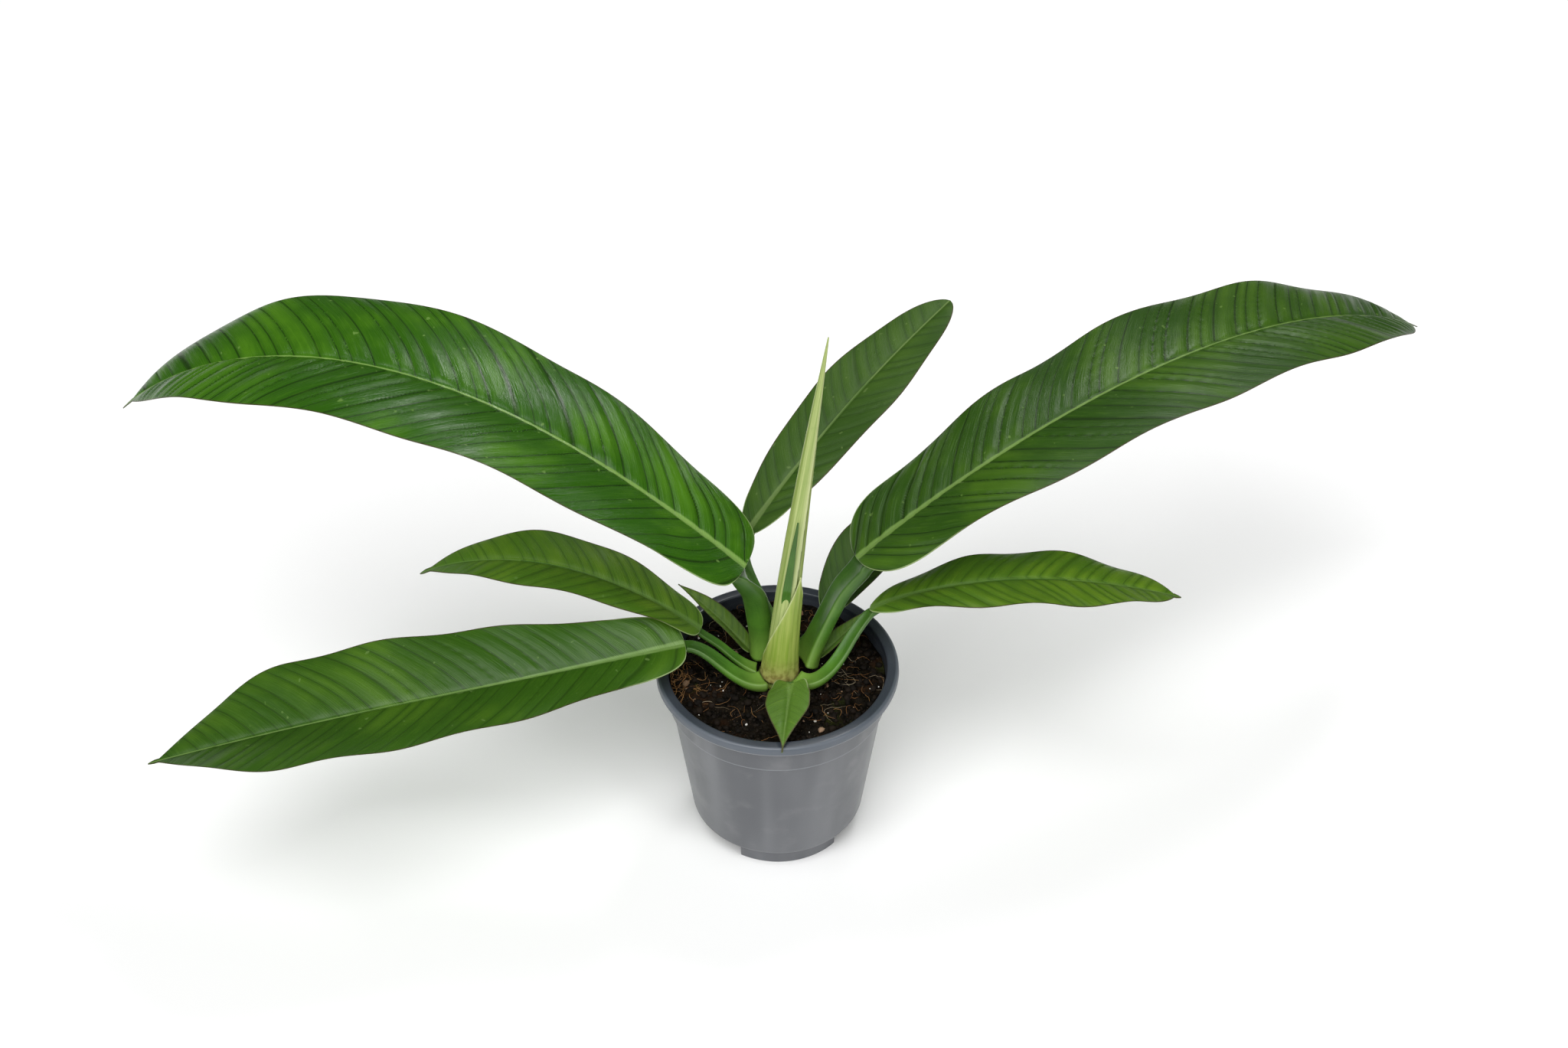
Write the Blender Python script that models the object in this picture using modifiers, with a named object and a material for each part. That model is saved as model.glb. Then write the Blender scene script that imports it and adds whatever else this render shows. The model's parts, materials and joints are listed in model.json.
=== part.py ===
"""A strap-leaved philodendron growing in a round nursery pot.

Metres, +Z up. The front of the plant faces -Y. The whole object stands on z = 0, and the origin
is on the ground under the middle of its spread.
"""

import math
from collections import namedtuple

import bmesh
import bpy
from mathutils import Matrix, Vector

# ---------------------------------------------------------------- driving sizes

GAP = 0.0003  # left between pieces that touch

# Pot
RIM_RADIUS = 0.060
POT_HEIGHT = 0.102
POT_WALL = 0.0012
LIP_OVERHANG = 0.0048
LIP_HEIGHT = 0.0046
LIP_ROUNDING = 0.0014
BAND_HEIGHT = 0.0210  # from the rim down to the stacking step
BAND_TAPER = 0.0012
STEP_WIDTH = 0.0014
BASE_RADIUS = 0.0432
FOOT_HEIGHT = 0.0110
FOOT_RADIUS = 0.0380
FOOT_WALL = 0.0022
FOOT_COUNT = 3
FOOT_GAP_WIDTH = 0.0270
FIRST_FOOT_GAP = -20.0  # degrees round the pot from +X
DRAIN_COUNT = 6
DRAIN_RADIUS = 0.0030
DRAIN_RING = 0.0270
POT_SEGMENTS = 48

# Soil
SOIL_DROP = 0.0060  # from the rim down to the soil
SOIL_DISH = 0.0010  # how much lower the soil lies at the wall
SOIL_LEVEL = POT_HEIGHT - SOIL_DROP

# Crown, the short stem that every leaf grows from
CROWN_CENTRE = (0.0010, -0.0015)
CROWN_RADIUS = 0.0115
CROWN_HEIGHT = 0.0040  # above the soil
CROWN_DEPTH = 0.0150  # below the soil
CROWN_ROUNDING = 0.0020
CROWN_TOP = SOIL_LEVEL + CROWN_HEIGHT

# Spear, the new leaf that is still rolled up, and the sheath that clasps it
SPEAR_FOOT = (0.0010, -0.0035)
SPEAR_LENGTH = 0.1990
SPEAR_LEAN = 0.0215
SPEAR_LEAN_BACK = 0.0020
SPEAR_RADIUS = 0.0066
SPEAR_TIP_RADIUS = 0.0004
SHEATH_WALL = 0.0010
SHEATH_LENGTH = 0.0640
SHEATH_FACING = 312.0  # degrees round the spear of the sheath's tip
SHEATH_WRAP = 158.0  # half of its wrap at the foot, in degrees
ROLLED_RADIUS = 0.0016
ROLLED_FACING = 258.0  # degrees round the spear
ROLLED_LENGTH = 0.0490

LOBE_SPAN = 0.12  # the part of a blade's length over which its margins are drawn back
ROW_SPACING = 1.4
BLADE_THICKNESS = 0.0010
SMALL_BLADE_THICKNESS = 0.0009

# Front leaf, which lies forward over the rim
FRONT_CLEARANCE = 0.0014  # over the rim
FRONT_REACH = 0.0035  # beyond the rim
FRONT_ASIDE = 0.0052  # to the right of the crown
FRONT_WIDTH = 0.0220
FRONT_STALK_RADIUS = 0.0016
FRONT_STALK_LENGTH = 0.0040

# Each blade: its foot beside the pot's axis and above the soil, then degrees. It sets off at
# heading and rise, and by its tip it has turned by sweep and by bend; late is the power of the
# bend, fold lifts each half, and roll and twist tip it sideways. Its outline is round up to
# shoulder, where it has the share of its width that start gives, grows until taper_start, and
# narrows to the tip; shoulder and taper_start are fractions of its length. lobe draws the
# margins back beside the stalk.
Blade = namedtuple(
    "Blade",
    "foot heading sweep rise bend late length width fold roll twist"
    " start lobe shoulder taper_start taper_power tip_power rows columns",
)
BLADES = {
    "left_long": Blade(
        foot=(-0.0158, 0.0020, 0.0684),
        heading=160, sweep=10, rise=33.5, bend=-79, late=1.8,
        length=0.349, width=0.0935, fold=5.5, roll=3, twist=-6,
        start=0.58, lobe=0.010, shoulder=0.10, taper_start=0.55, taper_power=2.2, tip_power=0.89,
        rows=20, columns=6,
    ),
    "right_long": Blade(
        foot=(0.0385, 0.0100, 0.0657),
        heading=24.5, sweep=14, rise=30.5, bend=-66, late=1.2,
        length=0.380, width=0.0845, fold=3, roll=-8, twist=10,
        start=0.60, lobe=0.006, shoulder=0.09, taper_start=0.48, taper_power=2.2, tip_power=0.63,
        rows=20, columns=6,
    ),
    "back": Blade(
        foot=(-0.0150, 0.0340, 0.0611),
        heading=50, sweep=-3, rise=29, bend=-18, late=1.0,
        length=0.1675, width=0.0448, fold=5.5, roll=-6.5, twist=4,
        start=0.41, lobe=0.0, shoulder=0.11, taper_start=0.54, taper_power=1.7, tip_power=0.56,
        rows=14, columns=4,
    ),
    "low_left": Blade(
        foot=(-0.0448, -0.0080, 0.0260),
        heading=194, sweep=-6, rise=-4, bend=-10, late=2.5,
        length=0.263, width=0.077, fold=13, roll=-18, twist=28,
        start=0.34, lobe=0.008, shoulder=0.11, taper_start=0.72, taper_power=2.0, tip_power=1.15,
        rows=18, columns=6,
    ),
    "mid_left": Blade(
        foot=(-0.0376, 0.0030, 0.0260),
        heading=167, sweep=-2.5, rise=34.5, bend=-70, late=1.15,
        length=0.1545, width=0.0388, fold=8, roll=-1.5, twist=-4,
        start=0.43, lobe=0.004, shoulder=0.10, taper_start=0.53, taper_power=2.0, tip_power=1.15,
        rows=14, columns=4,
    ),
    "low_right": Blade(
        foot=(0.0452, 0.0050, 0.0375),
        heading=5.5, sweep=1, rise=31.5, bend=-54, late=0.6,
        length=0.159, width=0.042, fold=2, roll=-2, twist=0,
        start=0.30, lobe=0.0, shoulder=0.11, taper_start=0.52, taper_power=2.0, tip_power=0.70,
        rows=14, columns=4,
    ),
    "behind_right": Blade(
        foot=(0.0233, 0.0160, 0.0240),
        heading=47, sweep=6, rise=44, bend=-52, late=1.1,
        length=0.086, width=0.0320, fold=10, roll=0, twist=0,
        start=0.40, lobe=0.0, shoulder=0.15, taper_start=0.45, taper_power=1.8, tip_power=1.0,
        rows=10, columns=4,
    ),
}

# Each stalk: where it leaves the crown, in degrees round it, whether it stands on the crown or
# leaves its side, how far out beyond touching and how high, how it sets off, its half widths,
# and the lengths of its two handles.
Stalk = namedtuple(
    "Stalk", "around stands out height heading rise foot_radius top_radius leave arrive"
)
STALKS = {
    "left_long": Stalk(
        around=122, stands=True, out=0.0, height=0.0, heading=150, rise=82,
        foot_radius=0.0060, top_radius=0.0050, leave=0.022, arrive=0.010,
    ),
    "right_long": Stalk(
        around=24, stands=True, out=0.0, height=0.0, heading=30, rise=64,
        foot_radius=0.0058, top_radius=0.0054, leave=0.022, arrive=0.012,
    ),
    "back": Stalk(
        around=84, stands=True, out=0.0058, height=0.0, heading=128, rise=66,
        foot_radius=0.0032, top_radius=0.0026, leave=0.022, arrive=0.014,
    ),
    "low_left": Stalk(
        around=228, stands=False, out=0.0, height=0.0046, heading=208, rise=4,
        foot_radius=0.0045, top_radius=0.0034, leave=0.014, arrive=0.010,
    ),
    "mid_left": Stalk(
        around=182, stands=False, out=0.0, height=0.0044, heading=178, rise=22,
        foot_radius=0.0030, top_radius=0.0022, leave=0.010, arrive=0.010,
    ),
    "low_right": Stalk(
        around=314, stands=False, out=0.0, height=0.0050, heading=326, rise=4,
        foot_radius=0.0042, top_radius=0.0028, leave=0.022, arrive=0.008,
    ),
    "behind_right": Stalk(
        around=57, stands=True, out=0.0048, height=0.0, heading=50, rise=55,
        foot_radius=0.0026, top_radius=0.0020, leave=0.006, arrive=0.006,
    ),
}



def beside_spear(around, out, height):
    """A place round the spear, this far out from its sheath and this high above the soil."""
    away = SPEAR_RADIUS + SPEAR_TIP_RADIUS + SHEATH_WALL + out
    turn = math.radians(around)
    return (SPEAR_FOOT[0] + away * math.cos(turn), SPEAR_FOOT[1] + away * math.sin(turn), height)


# Each small leaf with no stalk: its foot beside the spear, and how it runs
SMALL_LEAVES = {
    "small_left_leaf": Blade(
        foot=beside_spear(141.0, 0.0126, 0.0052),
        heading=156, sweep=-6, rise=52, bend=-30, late=1.0,
        length=0.048, width=0.0125, fold=28, roll=0, twist=0,
        start=0.75, lobe=0.0, shoulder=0.20, taper_start=0.40, taper_power=1.6, tip_power=1.0,
        rows=8, columns=4,
    ),
    "small_right_leaf": Blade(
        foot=beside_spear(19.0, 0.0137, 0.0065),
        heading=19, sweep=0, rise=46, bend=-4, late=1.0,
        length=0.036, width=0.0100, fold=24, roll=0, twist=0,
        start=0.75, lobe=0.0, shoulder=0.20, taper_start=0.35, taper_power=1.5, tip_power=1.1,
        rows=8, columns=4,
    ),
}

BLADE_GREEN = (0.035, 0.115, 0.018)
SMALL_GREEN = (0.075, 0.200, 0.030)
STALK_GREEN = (0.120, 0.270, 0.045)
SPEAR_GREEN = (0.420, 0.520, 0.180)
SHEATH_GREEN = (0.350, 0.430, 0.130)
POT_GREY = (0.075, 0.085, 0.100)
SOIL_BROWN = (0.020, 0.013, 0.009)


# ---------------------------------------------------------------- helpers


def clear_scene():
    for obj in list(bpy.data.objects):
        bpy.data.objects.remove(obj, do_unlink=True)


def new_collection(name):
    collection = bpy.data.collections.new(name)
    bpy.context.scene.collection.children.link(collection)
    return collection


def principled(name, color, roughness):
    material = bpy.data.materials.new(name)
    material.use_nodes = True
    shader = material.node_tree.nodes["Principled BSDF"]
    shader.inputs["Base Color"].default_value = (*color, 1.0)
    shader.inputs["Roughness"].default_value = roughness
    shader.inputs["Metallic"].default_value = 0.0
    return material


def add_part(name, data, material):
    """Puts a mesh or a curve in the plant's collection, standing on the pot's empty."""
    obj = bpy.data.objects.new(name, data)
    data.materials.append(material)
    PARTS.objects.link(obj)
    obj.parent = STAND
    return obj


def add_cutter(name, data, collection):
    obj = bpy.data.objects.new(name, data)
    collection.objects.link(obj)
    obj.parent = STAND
    obj.hide_render = True
    obj.display_type = "WIRE"
    return obj


def direction(heading, rise):
    """The unit vector at this heading round the pot and this rise over level, in degrees."""
    level = math.cos(math.radians(rise))
    turn = math.radians(heading)
    return Vector((level * math.cos(turn), level * math.sin(turn), math.sin(math.radians(rise))))


def arc(centre, radius, start, end, steps):
    """Points on an arc about centre, from start to end in degrees."""
    angles = [math.radians(start + (end - start) * step / steps) for step in range(steps + 1)]
    return [(centre[0] + radius * math.cos(a), centre[1] + radius * math.sin(a)) for a in angles]


def turned(name, profile, material, segments):
    """A turned solid: the profile's (radius, height) points, top to bottom on the outer side."""
    mesh = bpy.data.meshes.new(name)
    edges = [(index, index + 1) for index in range(len(profile) - 1)]
    mesh.from_pydata([(r, 0.0, z) for r, z in profile], edges, [])
    obj = add_part(name, mesh, material)
    screw = obj.modifiers.new("turn", "SCREW")
    screw.steps = segments
    screw.render_steps = segments
    screw.use_merge_vertices = True
    screw.merge_threshold = 0.00001
    screw.use_smooth_shade = True
    return obj


def cylinder(name, radius, low, high, centre, segments, collection):
    """A cutter: an upright cylinder about centre, from low to high."""
    mesh = bpy.data.meshes.new(name)
    form = bmesh.new()
    bmesh.ops.create_cone(
        form, cap_ends=True, segments=segments, radius1=radius, radius2=radius, depth=high - low
    )
    form.to_mesh(mesh)
    form.free()
    obj = add_cutter(name, mesh, collection)
    obj.location = (centre[0], centre[1], (low + high) / 2)
    return obj


def cut_with(obj, collection):
    cut = obj.modifiers.new("cut", "BOOLEAN")
    cut.operation = "DIFFERENCE"
    cut.operand_type = "COLLECTION"
    cut.collection = collection


def sheet(name, rows, columns, place, thickness, material):
    """A thin curved solid: a grid laid by place(u, v), u from 0 to 1 and v from -1 to 1."""
    mesh = bpy.data.meshes.new(name)
    form = bmesh.new()
    bmesh.ops.create_grid(form, x_segments=rows, y_segments=columns, size=0.5)
    for point in form.verts:
        point.co = place(point.co.x + 0.5, 2 * point.co.y)
    form.to_mesh(mesh)
    form.free()
    obj = add_part(name, mesh, material)
    solid = obj.modifiers.new("thickness", "SOLIDIFY")
    solid.thickness = thickness
    solid.offset = 0.0
    mesh.shade_smooth()
    return obj


def rod(name, points, radii, material):
    """A round tapered rod through the points, with a half width at each."""
    curve = bpy.data.curves.new(name, "CURVE")
    curve.dimensions = "3D"
    curve.bevel_depth = 1.0
    curve.bevel_resolution = 3
    curve.use_fill_caps = True
    spline = curve.splines.new("POLY")
    spline.points.add(len(points) - 1)
    for knot, point, radius in zip(spline.points, points, radii):
        knot.co = (*point, 1.0)
        knot.radius = radius
    return add_part(name, curve, material)


# ---------------------------------------------------------------- pot and soil


def outer_radius(height):
    """The pot's outside below the lip: a wide band over the step, and a plain taper under it."""
    band_low = POT_HEIGHT - BAND_HEIGHT
    band_top = RIM_RADIUS - LIP_OVERHANG
    step_top = band_top - BAND_TAPER
    if height >= band_low:
        return step_top + BAND_TAPER * (height - band_low) / BAND_HEIGHT
    low_top = step_top - STEP_WIDTH
    share = (height - FOOT_HEIGHT) / (band_low - FOOT_HEIGHT)
    return BASE_RADIUS + (low_top - BASE_RADIUS) * share


def wall_line(inset):
    """(radius, height) down the wall, from under the rim to the floor, moved in by inset."""
    band_low = POT_HEIGHT - BAND_HEIGHT
    heights = (band_low + STEP_WIDTH / 2, band_low - STEP_WIDTH / 2)
    return [(outer_radius(height) - inset, height) for height in heights]


def pot_profile():
    floor_top = FOOT_HEIGHT + POT_WALL
    wall_top = POT_HEIGHT - LIP_HEIGHT
    inner_top = outer_radius(POT_HEIGHT) - POT_WALL
    inside = [(0.0, floor_top), (outer_radius(floor_top) - POT_WALL, floor_top)]
    inside += reversed(wall_line(POT_WALL))
    inside += [(inner_top, POT_HEIGHT - LIP_ROUNDING)]
    inner_edge = (inner_top + LIP_ROUNDING / 2, POT_HEIGHT - LIP_ROUNDING / 2)
    outer_edge = (RIM_RADIUS - LIP_ROUNDING, POT_HEIGHT - LIP_ROUNDING)
    rim = arc(inner_edge, LIP_ROUNDING / 2, 135, 90, 1)
    rim += arc(outer_edge, LIP_ROUNDING, 90, 0, 3)
    rim += [(RIM_RADIUS, wall_top + POT_WALL / 2), (RIM_RADIUS - POT_WALL / 2, wall_top)]
    outside = [(outer_radius(wall_top), wall_top)] + wall_line(0.0)
    outside += [(BASE_RADIUS, FOOT_HEIGHT), (FOOT_RADIUS, FOOT_HEIGHT), (FOOT_RADIUS, 0.0)]
    foot_inside = FOOT_RADIUS - FOOT_WALL
    under = [(foot_inside, 0.0), (foot_inside, FOOT_HEIGHT), (0.0, FOOT_HEIGHT)]
    return inside + rim + outside + under


def make_pot():
    pot = turned("nursery_pot", pot_profile(), principled("pot", POT_GREY, 0.42), POT_SEGMENTS)
    cutters = bpy.data.collections.new("pot_cutters")
    CUTTERS.children.link(cutters)
    for index in range(FOOT_COUNT):
        notch = bpy.data.meshes.new("foot_gap")
        form = bmesh.new()
        bmesh.ops.create_cube(form, size=1.0)
        size = (BASE_RADIUS / 2, FOOT_GAP_WIDTH, 2 * (FOOT_HEIGHT - POT_WALL))
        bmesh.ops.scale(form, vec=size, verts=form.verts)
        bmesh.ops.translate(form, vec=(FOOT_RADIUS, 0.0, 0.0), verts=form.verts)
        form.to_mesh(notch)
        form.free()
        cutter = add_cutter(f"foot_gap_{index + 1}", notch, cutters)
        cutter.rotation_euler.z = math.radians(FIRST_FOOT_GAP + 360 * index / FOOT_COUNT)
    for index in range(DRAIN_COUNT):
        turn = math.radians(FIRST_FOOT_GAP + 360 * index / DRAIN_COUNT)
        centre = (DRAIN_RING * math.cos(turn), DRAIN_RING * math.sin(turn))
        low = FOOT_HEIGHT - POT_WALL
        high = FOOT_HEIGHT + 2 * POT_WALL
        cylinder(f"drain_{index + 1}", DRAIN_RADIUS, low, high, centre, 12, cutters)
    cut_with(pot, cutters)
    return pot


def make_soil():
    """The soil fills the pot, a gap away from its wall and floor, up to the soil level."""
    bottom = FOOT_HEIGHT + POT_WALL + GAP
    inset = POT_WALL + GAP
    edge = SOIL_LEVEL - SOIL_DISH
    profile = [(0.0, SOIL_LEVEL), (outer_radius(edge) - inset, edge)]
    profile += wall_line(inset)
    profile += [(outer_radius(bottom) - inset, bottom), (0.0, bottom)]
    soil = turned("potting_soil", profile, principled("soil", SOIL_BROWN, 0.95), POT_SEGMENTS)
    cutters = bpy.data.collections.new("soil_cutters")
    CUTTERS.children.link(cutters)
    low = SOIL_LEVEL - CROWN_DEPTH - GAP
    high = SOIL_LEVEL + CROWN_HEIGHT
    cylinder("crown_pocket", CROWN_RADIUS + GAP, low, high, CROWN_CENTRE, 32, cutters)
    cut_with(soil, cutters)
    return soil


def make_crown():
    low = SOIL_LEVEL - CROWN_DEPTH
    shoulder = (CROWN_RADIUS - CROWN_ROUNDING, CROWN_TOP - CROWN_ROUNDING)
    profile = [(0.0, CROWN_TOP)] + arc(shoulder, CROWN_ROUNDING, 90, 0, 3)
    profile += [(CROWN_RADIUS, low), (0.0, low)]
    crown = turned("stem_crown", profile, principled("crown", STALK_GREEN, 0.5), 32)
    crown.location = (*CROWN_CENTRE, 0.0)
    return crown


# ---------------------------------------------------------------- blades


def blade_foot(blade):
    return Vector((blade.foot[0], blade.foot[1], SOIL_LEVEL + blade.foot[2]))


def half_width(blade, u):
    """Half the blade's width: a round shoulder, a slow growth, and a taper to the tip."""
    near = min(u / blade.shoulder, 1.0)
    grown = math.sin(math.pi / 2 * min(u / blade.taper_start, 1.0))
    far = max(u - blade.taper_start, 0.0) / (1 - blade.taper_start)
    full = math.sqrt(1 - (1 - near) ** 2) * (blade.start + (1 - blade.start) * grown)
    return blade.width / 2 * full * (1 - far**blade.taper_power) ** blade.tip_power


def drawn_back(blade, u):
    """How far the margin is drawn back towards the stalk: a hump over the blade's foot."""
    return blade.lobe * math.sin(math.pi * min(u / LOBE_SPAN, 1.0))


def row_share(blade, row):
    """Where a row crosses the blade: the rows lie closer together at the foot."""
    return (row / blade.rows) ** ROW_SPACING


def midrib(blade):
    """At each row of the blade: a point, and the ways ahead, across and up from it."""
    point = blade_foot(blade)
    frames = []
    for row in range(blade.rows + 1):
        u = row_share(blade, row)
        ahead = direction(blade.heading + blade.sweep * u, blade.rise + blade.bend * u**blade.late)
        across = Vector((0, 0, 1)).cross(ahead).normalized()
        roll = Matrix.Rotation(math.radians(blade.roll + blade.twist * u), 3, ahead)
        frames.append((point.copy(), ahead, roll @ across, roll @ ahead.cross(across)))
        onward = row_share(blade, row + 1) - u
        middle = u + onward / 2
        rise = blade.rise + blade.bend * middle**blade.late
        step = direction(blade.heading + blade.sweep * middle, rise)
        point = point + step * blade.length * onward
    return frames


def blade_place(blade, foot_half_width):
    """Lays a grid point: out from the midrib by the half width, each half lifted by the fold."""
    frames = midrib(blade)
    fold = math.radians(blade.fold)
    least = 0.0005

    def place(along, v):
        row = round(along * blade.rows)
        u = row_share(blade, row)
        point, ahead, across, up = frames[row]
        half = foot_half_width if row == 0 else max(half_width(blade, u), least)
        back = abs(v) * drawn_back(blade, u) * ahead
        return point - back + half * (v * math.cos(fold) * across + abs(v) * math.sin(fold) * up)

    return place


def make_blade(name, blade, foot_half_width, thickness, color):
    place = blade_place(blade, foot_half_width)
    material = principled(name, color, 0.35)
    return sheet(name, blade.rows, blade.columns, place, thickness, material)


# ---------------------------------------------------------------- stalks


def spear_middle(share):
    """A point on the spear's axis: straight up at first, then leaning a little more."""
    foot = Vector((SPEAR_FOOT[0], SPEAR_FOOT[1], CROWN_TOP + 3 * GAP))
    lean = Vector((SPEAR_LEAN, SPEAR_LEAN_BACK, 0.0)) * share**1.2
    return foot + lean + Vector((0.0, 0.0, SPEAR_LENGTH * share))


def spear_radius(share):
    return SPEAR_RADIUS * (1 - share**1.5) + SPEAR_TIP_RADIUS


def crown_start(stalk):
    """Where a stalk begins: on the crown, clear of the sheath, or against the crown's side."""
    turn = direction(stalk.around, 0)
    lean = math.radians(stalk.rise)
    if stalk.stands:
        clasp = spear_radius(0) + GAP + SHEATH_WALL
        centre = Vector((*SPEAR_FOOT, 0.0))
        away = clasp + GAP + stalk.foot_radius + stalk.out
        height = CROWN_TOP + 2 * GAP + stalk.foot_radius * math.cos(lean) + stalk.height
    else:
        centre = Vector((*CROWN_CENTRE, 0.0))
        away = CROWN_RADIUS + 2 * GAP + stalk.foot_radius * math.sin(lean) + stalk.out
        height = SOIL_LEVEL + stalk.height
    return centre + away * turn + Vector((0.0, 0.0, height))


def make_stalk(name, stalk, blade, section):
    """A tapered stalk from the crown to the blade's foot, which it meets in line."""
    start = crown_start(stalk)
    arrive = direction(blade.heading, blade.rise)
    end = blade_foot(blade) - GAP * 2 * arrive
    curve = bpy.data.curves.new(name, "CURVE")
    curve.dimensions = "3D"
    curve.twist_mode = "Z_UP"
    curve.resolution_u = 9
    curve.bevel_mode = "OBJECT"
    curve.bevel_object = section
    curve.use_fill_caps = True
    spline = curve.splines.new("BEZIER")
    spline.bezier_points.add(1)
    spline.radius_interpolation = "EASE"
    first, last = spline.bezier_points
    leave = direction(stalk.heading, stalk.rise) * stalk.leave
    for knot, place, reach, radius in (
        (first, start, leave, stalk.foot_radius),
        (last, end, arrive * stalk.arrive, stalk.top_radius),
    ):
        knot.co = place
        knot.handle_left_type = "FREE"
        knot.handle_right_type = "FREE"
        knot.handle_left = place - reach
        knot.handle_right = place + reach
        knot.radius = radius
    return add_part(name, curve, principled(name, STALK_GREEN, 0.4))


def stalk_section():
    """The stalk's cross-section, one unit in half width: round below and nearly flat on top."""
    points = arc((0.0, 0.0), 1.0, 180, 360, 6) + [(0.80, 0.42), (0.0, 0.34), (-0.80, 0.42)]
    curve = bpy.data.curves.new("stalk_section", "CURVE")
    curve.dimensions = "2D"
    spline = curve.splines.new("POLY")
    spline.points.add(len(points) - 1)
    for knot, (across, up) in zip(spline.points, reversed(points)):
        knot.co = (across, up * 0.85, 0.0, 1.0)
    spline.use_cyclic_u = True
    return add_cutter("stalk_section", curve, CUTTERS)


# ---------------------------------------------------------------- spear and sheath


def make_spear():
    shares = [index / 14 for index in range(15)]
    points = [spear_middle(share) for share in shares]
    radii = [spear_radius(share) for share in shares]
    return rod("spear_leaf", points, radii, principled("spear", SPEAR_GREEN, 0.45))


def sheath_wrap(share):
    """Half of the sheath's wrap round the spear, in degrees, from its foot to its tip."""
    return SHEATH_WRAP * (1 - share)


def make_sheath():
    """The sheath is a sheet wrapped round the spear, narrowing to a tip on its right side."""

    def place(u, v):
        share = u * SHEATH_LENGTH / SPEAR_LENGTH
        turn = SHEATH_FACING + v * max(sheath_wrap(u), 4.0)
        out = spear_radius(share) + GAP + SHEATH_WALL / 2
        foot_lift = Vector((0.0, 0.0, GAP * (1 - u)))
        return spear_middle(share) + foot_lift + out * direction(turn, 0)

    sheath = principled("sheath", SHEATH_GREEN, 0.45)
    return sheet("spear_sheath", 12, 16, place, SHEATH_WALL, sheath)


def make_rolled_blade():
    """The rolled blade runs up the spear's front from where the sheath's free edge uncovers it."""
    clear = math.degrees((ROLLED_RADIUS + 2 * GAP) / SPEAR_RADIUS)
    covered = (SHEATH_FACING - ROLLED_FACING - clear) / SHEATH_WRAP
    foot = SHEATH_LENGTH * (1 - covered)
    steps = 10
    points = []
    radii = []
    for index in range(steps + 1):
        along = index / steps
        share = (foot + ROLLED_LENGTH * along) / SPEAR_LENGTH
        out = spear_radius(share) + GAP + ROLLED_RADIUS
        points.append(spear_middle(share) + out * direction(ROLLED_FACING, 0))
        radii.append(ROLLED_RADIUS * (1 - 0.8 * along**2))
    return rod("rolled_blade", points, radii, principled("rolled_blade", SMALL_GREEN, 0.4))


# ---------------------------------------------------------------- front leaf


def front_leaf():
    """The front leaf's blade: level, just over the rim, and long enough to reach beyond it."""
    rise = SOIL_DROP + FRONT_CLEARANCE + BLADE_THICKNESS
    foot_y = CROWN_CENTRE[1] - CROWN_RADIUS - FRONT_STALK_LENGTH
    return Blade(
        foot=(CROWN_CENTRE[0] + FRONT_ASIDE, foot_y, rise),
        heading=-95, sweep=0, rise=7, bend=-15, late=1.0,
        length=RIM_RADIUS + FRONT_REACH + foot_y, width=FRONT_WIDTH, fold=9, roll=4, twist=0,
        start=0.85, lobe=0.005, shoulder=0.20, taper_start=0.32, taper_power=1.3, tip_power=1.15,
        rows=10, columns=4,
    )


def make_front_leaf(section):
    blade = front_leaf()
    small = SMALL_BLADE_THICKNESS
    make_blade("front_leaf_blade", blade, FRONT_STALK_RADIUS, small, SMALL_GREEN)
    radius = FRONT_STALK_RADIUS
    stalk = Stalk(
        around=280, stands=False, out=0.0, height=radius * 2, heading=-80, rise=40,
        foot_radius=radius, top_radius=radius, leave=0.002, arrive=0.002,
    )
    make_stalk("front_leaf_stalk", stalk, blade, section)


# ---------------------------------------------------------------- the whole plant


def lowest_middle():
    """The middle of the evaluated parts' spread, on the ground."""
    bpy.context.view_layer.update()
    graph = bpy.context.evaluated_depsgraph_get()
    corners = []
    for obj in PARTS.objects:
        evaluated = obj.evaluated_get(graph)
        mesh = evaluated.to_mesh()
        corners += [evaluated.matrix_world @ point.co for point in mesh.vertices]
        evaluated.to_mesh_clear()
    middle = [(min(c[i] for c in corners) + max(c[i] for c in corners)) / 2 for i in (0, 1)]
    return Vector((*middle, 0.0))


clear_scene()
PARTS = new_collection("potted_philodendron")
CUTTERS = new_collection("cutters")
STAND = bpy.data.objects.new("pot_stand", None)
bpy.context.scene.collection.objects.link(STAND)

make_pot()
make_soil()
make_crown()
SECTION = stalk_section()
for leaf_name, leaf in BLADES.items():
    leaf_stalk = STALKS[leaf_name]
    make_stalk(f"{leaf_name}_stalk", leaf_stalk, leaf, SECTION)
    foot = leaf_stalk.top_radius * 0.6
    make_blade(f"{leaf_name}_blade", leaf, foot, BLADE_THICKNESS, BLADE_GREEN)
for leaf_name, leaf in SMALL_LEAVES.items():
    make_blade(leaf_name, leaf, 0.003, SMALL_BLADE_THICKNESS, SMALL_GREEN)
make_spear()
make_sheath()
make_rolled_blade()
make_front_leaf(SECTION)

STAND.location = -lowest_middle()
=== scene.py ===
# %% [markdown]
# # A potted strap-leaved philodendron
#
# This is a young plant in a nursery pot: two long arching leaves, five smaller ones, three tiny ones,
# and a new leaf that is still rolled up into a pale spear. A frame of plain solids already says where
# every piece is and how big it is. This lesson gives each piece its fine surface and its finish.
# Nearly every shape here is a sheet or a tube worked out as a whole array of points, because a leaf
# grows that way: one outline, one bend, and ripples that follow its veins.

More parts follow.
